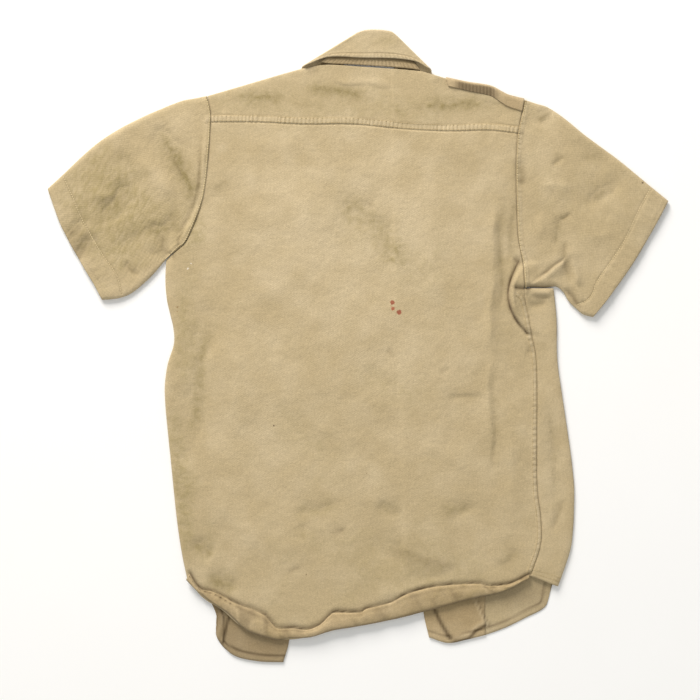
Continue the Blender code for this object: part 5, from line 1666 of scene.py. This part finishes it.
    def build_facing(self, name: str, left: bool, finishes: Finishes) -> bpy.types.Object:
        """Make a facing on the inside of a front, beside its buttoning edge."""
        sheet = Sheet()
        count = len(FACING_SHARES)
        halves = [plan[:, -count:] if left else plan[:, :count]
                  for plan in (self.left_plan() if left else self.right_plan())]
        cells = np.maximum(*[cells_between(half, self.cell, 1) for half in halves])
        for half in halves:
            self.add_low(sheet, half, CLOTH + SEAM_GAP, cells)
        item = sheet.shell(name + "_twill", CLOTH)
        return declare(item, finishes.inside, "khaki_twill_inside", name)


FRONTS = Fronts()


class Row(NamedTuple):
    """A row of stitches: the line it follows, how far to the left of its run, and each stitch's pitch."""

    curve: Curve
    offset: float
    pitch: float = 3.1


class Stitches:
    """Rows of thread stitches that lie on the upper cloth and dip into it at their ends."""

    # Rings of a stitch: their place from end to end, their share of its thickness, and how far they rise.
    RINGS = ((-1.0, 0.45, -0.30), (-0.55, 1.0, 0.02), (0.55, 1.0, 0.02), (1.0, 0.45, -0.30))
    SIDES = 4
    NEXT = 0.004               # share of a row's length over which its direction is taken
    SWERVE = Wave(0.12, 9.0, 91)
    SWERVE_CLOSER = 3          # the swerves are this much closer together than the wave's size
    HALF_STITCH = 0.46         # half a stitch, as a share of the pitch
    FLAT = 1.2                 # how much wider than high the thread is pressed

    def __init__(self, name: str, width: float) -> None:
        """Start an empty set of rows.

        Args:
            name: Name of the piece.
            width: Thickness of the thread in millimetres, a little more than real so that it shows.
        """
        self.name = name
        self.width = width
        self.centres: list[np.ndarray] = []
        self.runs: list[np.ndarray] = []

    def sew(self, row: Row, lift: float = 0.0) -> None:
        """Add a row.

        Args:
            row: Where it runs.
            lift: How much higher than the cloth's outer face it lies.
        """
        count = max(2, int(row.curve.length / row.pitch))
        share = (np.arange(count) + 0.5) / count
        place = row.curve.at(share)
        ahead = (row.curve.at(np.clip(share + self.NEXT, 0, 1))
                 - row.curve.at(np.clip(share - self.NEXT, 0, 1)))
        ahead /= np.linalg.norm(ahead, axis=1)[:, None]
        place = place + np.stack([-ahead[:, 1], ahead[:, 0]], axis=1) * row.offset
        closer = place * self.SWERVE_CLOSER
        place += waves(closer[:, 0], closer[:, 1], [self.SWERVE])[:, None]
        half = row.pitch * self.HALF_STITCH
        ends = []
        for way in (-1.0, 1.0):
            spot = place + ahead * half * way
            z = LAYING.high(spot[:, 0], spot[:, 1])[0] + CLOTH / 2 + lift
            ends.append(np.concatenate([spot, z[:, None]], axis=1))
        self.centres.append((ends[0] + ends[1]) / 2)
        self.runs.append((ends[1] - ends[0]) / 2)

    def build(self, finish: bpy.types.Material) -> bpy.types.Object:
        """Make all the rows as one piece."""
        centre, run = np.vstack(self.centres), np.vstack(self.runs)
        side = np.stack([-run[:, 1], run[:, 0], np.zeros(len(run))], axis=1)
        side /= np.linalg.norm(side, axis=1)[:, None]
        rise = np.array([0.0, 0.0, 1.0])
        points = []
        for ahead, thick, lift in self.RINGS:
            for number in range(self.SIDES):
                angle = 2 * math.pi * (number + 0.5) / self.SIDES
                radius = self.width / 2 * thick
                points.append(centre + run * ahead + side * (radius * math.cos(angle) * self.FLAT)
                              + rise * (radius * math.sin(angle) + lift))
        verts = np.stack(points, axis=1).reshape(-1, 3)
        faces = []
        sides, rings = self.SIDES, len(self.RINGS)
        for ring in range(rings - 1):
            for number in range(sides):
                after = (number + 1) % sides
                faces.append([ring * sides + number, ring * sides + after, (ring + 1) * sides + after,
                              (ring + 1) * sides + number])
        faces.append(list(range(sides))[::-1])
        faces.append([(rings - 1) * sides + number for number in range(sides)])
        whole = [[index + order * sides * rings for index in face]
                 for order in range(len(centre)) for face in faces]
        data = bpy.data.meshes.new(self.name)
        data.from_pydata((verts * MM).tolist(), [], whole)
        return declare(placed(smoothed(data)), finish, "khaki_twill")


@dataclass
class Sleeve:
    """A short sleeve: a flattened tube from the armhole to its hemmed cuff."""

    name: str
    top: list[Spot]
    low: list[Spot]
    arm: Armhole
    cuff: list[Spot]
    hem: list[Spot]
    hem_side: float
    thread: float = 0.95
    cell: float = 2.3
    flat: tuple[float, float] = (0.440, 0.235)
    area: float = 0.0740

    def build(self, finishes: Finishes) -> bpy.types.Object:
        """Make the sleeve and dress it."""
        blend = Blend([self.low[0], self.top[0]], reverse(self.cuff), self.low, self.top)
        along = np.concatenate([[0.0, 0.5], np.linspace(1, 7, 8)]) * NEAR_ARMHOLE
        inner = self.arm.rows()[2:]
        rise = np.concatenate([FOLD_IN / self.arm.curve.length, inner, self.arm.fold_rows()])
        weight = np.concatenate([FOLD_WEIGHT, np.ones(len(inner)), FOLD_WEIGHT[::-1]])
        plan = blend.plan(along, rise)
        step = np.clip(along / NEAR_ARMHOLE, 0, 1)[None, :, None]
        near = blend.plan([NEAR_ARMHOLE], rise)
        seam = self.arm.curve.at(rise)
        seam += (np.array(self.low[0]) - seam[0]) * (1 - rise[:, None]) ** 8
        plan = np.where(step < 1, (1 - step) * seam[:, None] + step * near, plan)
        away = near[:, 0] - plan[:, 0]
        plan[:, 0] += away / np.linalg.norm(away, axis=1)[:, None] * SLEEVE_GAP
        places, weights = fine(plan, weight[:, None], self.cell, self.cell)
        upper, upper_tones = LAYING.laid(places, weights)
        lower, lower_tones = LAYING.laid(places, -weights)
        ring = np.concatenate([upper, lower[-2:0:-1], upper[:1]], axis=0)
        tones = np.concatenate([upper_tones, lower_tones[-2:0:-1], upper_tones[:1]], axis=0)
        out = np.concatenate([np.zeros((len(ring), 1)),
                              np.cumsum(np.linalg.norm(np.diff(ring, axis=1), axis=-1), axis=1)], axis=1)
        middle = ring[:, ring.shape[1] // 2]
        around = np.concatenate([[0.0], np.cumsum(np.linalg.norm(np.diff(middle, axis=0), axis=-1))])
        flat = np.stack([out, np.broadcast_to(around[:, None], out.shape)], axis=-1)
        sheet = Sheet()
        sheet.add(ring, tones, flat=flat)
        item = sheet.shell(self.name + "_twill", CLOTH)
        stitches = Stitches(self.name + "_stitches", self.thread)
        stitches.sew(Row(Curve(self.hem), 0.0), lift=0.25)
        stitches.sew(Row(self.arm.curve, self.hem_side * 2.2, 3.3), lift=0.1)
        sewn = stitches.build(finishes.thread)
        return declare(item, finishes.outside, "khaki_twill", self.name)


LEFT_SLEEVE = Sleeve("sleeve_left", LEFT_SLEEVE_TOP, LEFT_SLEEVE_LOW, LEFT_ARM, LEFT_CUFF,
                     LEFT_SLEEVE_HEM, 1.0)
RIGHT_SLEEVE = Sleeve("sleeve_right", RIGHT_SLEEVE_TOP, RIGHT_SLEEVE_LOW, RIGHT_ARM, RIGHT_CUFF,
                      RIGHT_SLEEVE_HEM, -1.0)


@dataclass
class Collar:
    """The collar: its leaf folded down over the stand, both turning under at the slanting end folds."""

    cell: float = 1.6
    leaf_low: float = DOUBLE / 2
    leaf_high: float = TOP_LAYER + CLOTH / 2 + SEAM_GAP + DOUBLE / 2 + 0.4
    stand_low: float = DOUBLE + SEAM_GAP + CLOTH / 2
    stand_high: float = TOP_LAYER
    leaf_reach: float = 3.6
    stand_reach: float = 2.6
    top_row: float = 6.6             # its top stitching, in from the edge
    row_width: float = 1.1
    leaf_pitch: float = 5.6          # from gather to gather
    stand_pitch: float = 5.2
    turn: tuple[int, ...] = (-90, -68, -46, -24, 0, 24, 46, 68, 90)

    @staticmethod
    def ribbon(reach: float, inset: float) -> list[tuple]:
        """Lines across the ribbon and their layer weights, turned round both slanting folds."""
        ends = [tuple(np.array(spot, dtype=float) for spot in (r.fold, r.edge, r.seam)) for r in COLLAR]
        out = []
        for index, ruling in enumerate(COLLAR):
            line = ends[index]
            if ruling.layer != 0:
                out.append((*line, float(ruling.layer)))
                continue
            rising = 1 if COLLAR[index - 1].layer < COLLAR[index + 1].layer else -1
            for degrees in Collar.turn:
                angle = math.radians(degrees)
                other = ends[index + 1] if degrees > 0 else ends[index - 1]
                distance = inset + reach * (1 - math.cos(angle))
                moved = [end + (toward - end) / np.linalg.norm(toward - end) * distance
                         for end, toward in zip(line, other)]
                out.append((*moved, math.sin(angle) * rising))
        return out

    @staticmethod
    def across(start: np.ndarray, end: np.ndarray, distances: Sequence[float], last: float) -> list:
        """Points on a line: some distances from its start, then even shares up to the last."""
        length = np.linalg.norm(end - start)
        first = [distance / length for distance in distances]
        even = np.linspace(first[-1], 1 - last / length, 4)[1:]
        return [(*(start + (end - start) * share), share * length, (1 - share) * length) for share in
                first + list(even)]

    def grid(self, leaf: bool) -> np.ndarray:
        """Fine rows of the ribbon: place, height, distance from the fold and from the far edge, weight."""
        high, low = (self.leaf_high, self.leaf_low) if leaf else (self.stand_high, self.stand_low)
        middle, half = (high + low) / 2, (high - low) / 2
        rows = []
        for fold, edge, seam, weight in self.ribbon(self.leaf_reach if leaf else self.stand_reach,
                                                    DOUBLE / 2 if leaf else DOUBLE + 2.6):
            points = (self.across(fold, edge, (0.8, 2.2), 0.6) if leaf
                      else self.across(fold, seam, (7.5,), 2.4))
            drops = [0.84 if leaf else 1.0] + [1.0] * (len(points) - 1)
            rows.append([(x, y, middle + half * weight * drop, begun, left, weight)
                         for (x, y, begun, left), drop in zip(points, drops)])
        return filled_in(filled_in(np.array(rows), self.cell, 1), self.cell, 0)

    def build_leaf(self, finishes: Finishes) -> bpy.types.Object:
        """Make the leaf and dress it."""
        grid = self.grid(True)
        along = self.run_along(grid)
        from_edge, weight = grid[..., 4], np.clip(grid[..., 5], -1, 1)
        groove = np.exp(-((from_edge - self.top_row) / self.row_width) ** 2)
        inside = smooth((self.top_row - from_edge) / 2) * smooth(from_edge / 1.5)
        jitter = wander(along, along * 0, 13.0, 101)
        gather = np.sin(2 * np.pi * along / self.leaf_pitch + 2 * jitter) * (0.6 + 0.5 * jitter)
        x, y = grid[..., 0], grid[..., 1]
        soft = 0.5 * wander(x, y, 26.0, 102) + 0.2 * wander(x, y, 9.0, 103)
        lift = (0.45 * inside + 0.30 * gather * inside - 0.35 * groove + soft * 0.9
                + 0.5 * np.exp(-(from_edge / 9) ** 2))
        points = grid[..., :3].copy()
        points[..., 2] += np.clip(weight, 0, 1) * lift + 0.2
        # Painted shade in the stitched groove and in the gathers' hollows; the paler edges and fold are wear.
        shade = np.clip(weight, 0, 1) * (0.40 * groove + 0.42 * inside * np.clip(-gather, 0, 1))
        fade = 0.30 + 0.5 * np.exp(-(from_edge / 2.0) ** 2) + 0.5 * np.exp(-(grid[..., 3] / 3.0) ** 2)
        olive = 0.35 * smooth(0.8 - np.hypot((x - 40) / 40, (y - 404) / 16))
        sheet = Sheet()
        sheet.add(points, np.stack([olive, fade, shade], axis=-1))
        item = sheet.shell("collar_leaf_twill", DOUBLE)
        return declare(item, finishes.outside, "khaki_twill", "collar_leaf")

    @staticmethod
    def run_along(grid: np.ndarray) -> np.ndarray:
        """Length reached along the ribbon at every point, taken on its outer edge."""
        run = np.linalg.norm(np.diff(grid[:, -1, :2], axis=0), axis=-1)
        return np.broadcast_to(np.concatenate([[0.0], np.cumsum(run)])[:, None], grid.shape[:2])

    def build_stand(self, finishes: Finishes) -> bpy.types.Object:
        """Make the stand and dress it."""
        grid = self.grid(False)
        along = self.run_along(grid)
        weight, left = np.clip(grid[..., 5], -1, 1), grid[..., 4]
        gather = np.sin(2 * np.pi * along / self.stand_pitch + wander(along, along * 0, 12.0, 111) * 2)
        band = smooth((left - 1.5) / 2) * (1 - smooth((left - 9) / 2))
        points = grid[..., :3].copy()
        points[..., 2] += np.clip(weight, 0, 1) * (0.22 * gather * band + 0.35 * band)
        # Painted shade in the gathers' hollows and, stronger, on the stand away from its seam, where the leaf
        # overhangs it; a little all over.
        shade = 0.30 * band * np.clip(-gather, 0, 1) + 0.55 * smooth((left - 9) / 6) + 0.1
        sheet = Sheet()
        sheet.add(points, np.stack([0 * shade, 0.35 * band, shade], axis=-1))
        item = sheet.shell("collar_stand_twill", CLOTH)
        return declare(item, finishes.inside, "khaki_twill_inside", "collar_stand")


@dataclass
class ShoulderStrap:
    """A shoulder strap under the shoulder's fold; on the right its stitched edge shows on top."""

    name: str
    from_left: bool
    shown: float
    cell: float = 1.8

    def build(self, finishes: Finishes) -> bpy.types.Object:
        """Make the strap and dress it."""
        plan, folded, way_down = YOKE.plan()
        numbers = np.flatnonzero(folded)
        half = [n for n in numbers if (plan[-1, n, 0] < 0) == self.from_left]
        half = half if self.from_left else half[::-1]
        run = np.linalg.norm(plan[-1, half] - plan[-1, half[0]], axis=1)
        chosen = [n for n, away in zip(half, run) if away <= STRAP_SHARE * run[-1]]
        out = CLOTH / 2 + SEAM_GAP + DOUBLE / 2
        angles = [-35, -62, -90] if self.shown <= 0 else [90, 62, 35, 0, -35, -62, -90]
        columns = []
        for order, n in enumerate(chosen):
            narrow = 1 - order / (len(chosen) - 1)
            column = []
            for degrees in angles:
                angle = math.radians(degrees)
                distance = FOLD_REACH * (1 - math.cos(angle))
                point = self.on_layer(plan[-1, n] + way_down[n] * distance, math.sin(angle))
                normal = np.array([-1.6 * math.cos(angle), FOLD_REACH * math.sin(angle)])
                normal *= out / np.linalg.norm(normal)
                point[:2] += way_down[n] * normal[0]
                point[2] += normal[1]
                column.append(point)
            if self.shown > 0:
                flat = self.on_layer(plan[-1, n] + way_down[n] * (FOLD_REACH + 1 + self.shown * narrow), 1.0)
                flat[2] += out
                column.insert(0, flat)
            for down in (STRAP_WIDTH * 0.55, STRAP_WIDTH * (1.0 - 0.18 * (order == len(chosen) - 1))):
                flat = self.on_layer(plan[-1, n] + way_down[n] * down, -1.0)
                flat[2] -= out
                column.append(flat)
            columns.append(column)
        grid = filled_in(filled_in(np.array(columns), self.cell, 1), self.cell, 0)
        x = grid[..., 0]
        top = smooth((grid[..., 2] - TOP_LAYER) / 1.0)
        rib = np.sin(2 * np.pi * x / 4.6)
        from_rim = grid[..., 1].max(axis=1, keepdims=True) - grid[..., 1]
        # The dark lens is painted shade on the strap where it lies under the shoulder's fold, with a lighter
        # rim at its edge.
        dark = smooth((x - 124) / 14) * (1 - smooth((x - 176) / 16)) * smooth((from_rim - 1.6) / 1.6)
        grid[..., 2] += top * (0.10 * rib * dark - 0.7 * dark)
        shade = 0.12 + top * dark * (0.62 + 0.12 * rib)
        sheet = Sheet()
        sheet.add(grid, np.stack([0 * x, 0.45 + 0 * x, shade], axis=-1))
        item = sheet.shell(self.name + "_twill", DOUBLE)
        return declare(item, finishes.inside, "khaki_twill", self.name)

    @staticmethod
    def on_layer(place: np.ndarray, weight: float) -> np.ndarray:
        """A single place between the layers, without the small creases."""
        x, y = place[:1], place[1:]
        low = float(LAYING.low(x, y)[0])
        high = max(TOP_LAYER, low + LEAST_CLEAR)
        return np.array([place[0], place[1], (high + low) / 2 + weight * (high - low) / 2])


@dataclass
class Buttons:
    """The buttons down the right front, their rimmed faces to the table, each with four holes."""

    rings: int = 18
    steps: int = 48
    hole_out: float = 1.55
    hole_radius: float = 0.85
    hole_depth: float = 1.1
    hole_slope: float = 0.35
    first_down: float = 24.0

    def build(self, finishes: Finishes) -> list[bpy.types.Object]:
        """Make and dress them all."""
        made = []
        for number in range(FRONT_BUTTONS):
            down = self.first_down + number * BUTTON_PITCH
            point = BUTTON_EDGE.at(1 - down / BUTTON_EDGE.length)
            made.append(self.one(number + 1, float(point[0]) + BUTTON_FROM_EDGE, float(point[1]), finishes))
        return made

    def one(self, number: int, across: float, up: float, finishes: Finishes) -> bpy.types.Object:
        """Make one button."""
        mesh = bmesh.new()
        dish = [(radius, 0.5) for radius in np.linspace(0.0, 3.6, self.rings)]
        rim = [(4.0, 0.25), (4.3, 0.04), (4.7, 0.0), (5.1, 0.04), (5.45, 0.25), (BUTTON_RADIUS, 0.75)]
        back = [(BUTTON_RADIUS, 1.4), (5.3, 1.85), (4.4, BUTTON_THICK), (0, BUTTON_THICK)]
        profile = dish + rim + back
        verts = [mesh.verts.new((radius, 0, height)) for radius, height in profile]
        edges = [mesh.edges.new(pair) for pair in zip(verts, verts[1:])]
        bmesh.ops.spin(mesh, geom=verts + edges, cent=(0, 0, 0), axis=(0, 0, 1), angle=2 * math.pi,
                       steps=self.steps, use_duplicate=False)
        bmesh.ops.remove_doubles(mesh, verts=mesh.verts, dist=0.01)
        for vert in mesh.verts:
            if vert.co.z > 0.6 or math.hypot(vert.co.x, vert.co.y) > 3.4:
                continue
            near = min(math.hypot(vert.co.x - self.hole_out * math.cos(turn),
                                  vert.co.y - self.hole_out * math.sin(turn))
                       for turn in (math.pi / 4 + quarter * math.pi / 2 for quarter in range(4)))
            sunk = smooth(np.array((self.hole_radius - near) / self.hole_slope))
            vert.co.z += self.hole_depth * float(sunk)
        bmesh.ops.recalc_face_normals(mesh, faces=mesh.faces)
        bmesh.ops.scale(mesh, vec=Vector((MM, MM, MM)), verts=mesh.verts)
        bmesh.ops.translate(mesh, vec=Vector((across * MM, up * MM, 0.0)), verts=mesh.verts)
        data = bpy.data.meshes.new(f"button_urea_{number}")
        mesh.to_mesh(data)
        mesh.free()
        return declare(placed(smoothed(data)), finishes.urea, "brown_button", f"button_front_{number}")


@dataclass
class BodyStitches:
    """The sewing of the yoke, the armholes, the side seam and the side's hem."""

    width: float = 0.75

    def build(self, finishes: Finishes) -> bpy.types.Object:
        """Sew every row."""
        rows = Stitches("body_stitches", self.width)
        for path, offsets in ((YOKE_SEAM, (1.9, 8.3)), (RIGHT_ARMHOLE, (-1.3,)), (LEFT_ARMHOLE, (1.5,)),
                              (SIDE_SEAM_LINE, (-1.2, -5.6)), (SIDE_HEM, (3.0, 8.0))):
            for offset in offsets:
                rows.sew(Row(Curve(path), offset))
        return rows.build(finishes.seam_thread)


class Lamp(NamedTuple):
    """A square soft light: its name, place, target, power in watts, size in metres and colour."""

    name: str
    place: tuple[float, float, float]
    target: tuple[float, float, float]
    power: float
    size: float
    colour: tuple[float, float, float]


# A large low light from the collar's end draws every crease; two weak ones open up the shadows.
LAMPS = [
    Lamp("key_from_the_collar_end", (-1.3, 3.6, 1.9), (0.0, -0.05, 0.0), 246.0, 1.9, (1.0, 0.96, 0.925)),
    Lamp("fill_from_above", (-0.5, -0.2, 2.6), (0, 0, 0), 12.0, 2.4, (1.0, 0.99, 0.97)),
    Lamp("fill_from_the_hem_end", (0.7, -1.9, 1.5), (0, 0, 0), 7.0, 1.6, (0.98, 1.0, 0.97)),
]


@dataclass
class Studio:
    """The pale table, the soft lights and the camera that looks straight down."""

    distance: float = 2.4
    shirt_up: float = 0.006      # height of the plane that the photograph's scale is taken in
    sensor: float = 36.0
    floor_size: float = 3.2
    floor_down: float = 0.0002
    room: tuple[float, float, float, float] = (1.0, 1.0, 0.985, 1.0)
    room_strength: float = 0.37

    def build(self) -> None:
        """Set everything up."""
        self.floor()
        self.camera()
        for lamp in LAMPS:
            self.light(lamp)
        bpy.context.scene.view_settings.view_transform = "Standard"
        world = bpy.data.worlds.new("pale_room")
        world.use_nodes = True
        background = world.node_tree.nodes["Background"]
        background.inputs["Color"].default_value = self.room
        background.inputs["Strength"].default_value = self.room_strength
        bpy.context.scene.world = world

    def floor(self) -> None:
        """A pale painted board under the shirt."""
        half = self.floor_size
        data = bpy.data.meshes.new("table")
        data.from_pydata([(-half, -half, 0), (half, -half, 0), (half, half, 0), (-half, half, 0)], [],
                         [(0, 1, 2, 3)])
        made, shader = new_material("matt_white_painted_board",
                                    {"Roughness": 0.85, "Specular IOR Level": 0.2})
        tree = made.node_tree
        place = add_node(tree, "ShaderNodeTexCoord")
        cloud = clouded(tree, place.outputs["Object"], 3.0, 3.0)
        tree.links.new(mixed(tree, linear("#F6F6F4"), linear("#FBFBFA"), cloud), shader.inputs["Base Color"])
        data.materials.append(made)
        placed(data, (0.0, 0.0, -self.floor_down))

    def camera(self) -> None:
        """The camera, straight above the middle of the photograph's frame."""
        data = bpy.data.cameras.new("camera")
        data.type = "PERSP"
        data.sensor_width = self.sensor
        data.lens = self.sensor * (self.distance - self.shirt_up) / (PHOTO_WIDTH * MM)
        across, up = PHOTO_MIDDLE
        bpy.context.scene.camera = placed(data, (across * MM, up * MM, self.distance))

    @staticmethod
    def light(lamp: Lamp) -> None:
        """Put up a lamp, turned to its target."""
        data = bpy.data.lights.new(lamp.name, "AREA")
        data.energy, data.size, data.color = lamp.power, lamp.size, lamp.colour
        item = placed(data, lamp.place)
        item.rotation_euler = (Vector(lamp.target) - Vector(lamp.place)).to_track_quat("-Z", "Y").to_euler()


def main() -> None:
    """Build the shirt, piece by piece, and the studio round it."""
    logging.basicConfig(level=logging.INFO, format="%(name)s: %(message)s")
    finishes = Finishes()
    BACK.build(finishes)
    YOKE.build(finishes)
    FRONTS.build_left(finishes)
    FRONTS.build_right(finishes)
    FRONTS.build_facing("facing_left", True, finishes)
    FRONTS.build_facing("facing_right", False, finishes)
    LEFT_SLEEVE.build(finishes)
    RIGHT_SLEEVE.build(finishes)
    TurnedHem().build(finishes)
    collar = Collar()
    collar.build_leaf(finishes)
    collar.build_stand(finishes)
    BodyStitches().build(finishes)
    ShoulderStrap("strap_left", True, 0.0).build(finishes)
    ShoulderStrap("strap_right", False, 5.0).build(finishes)
    Buttons().build(finishes)
    Studio().build()
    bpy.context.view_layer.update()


if __name__ == "__main__":
    main()
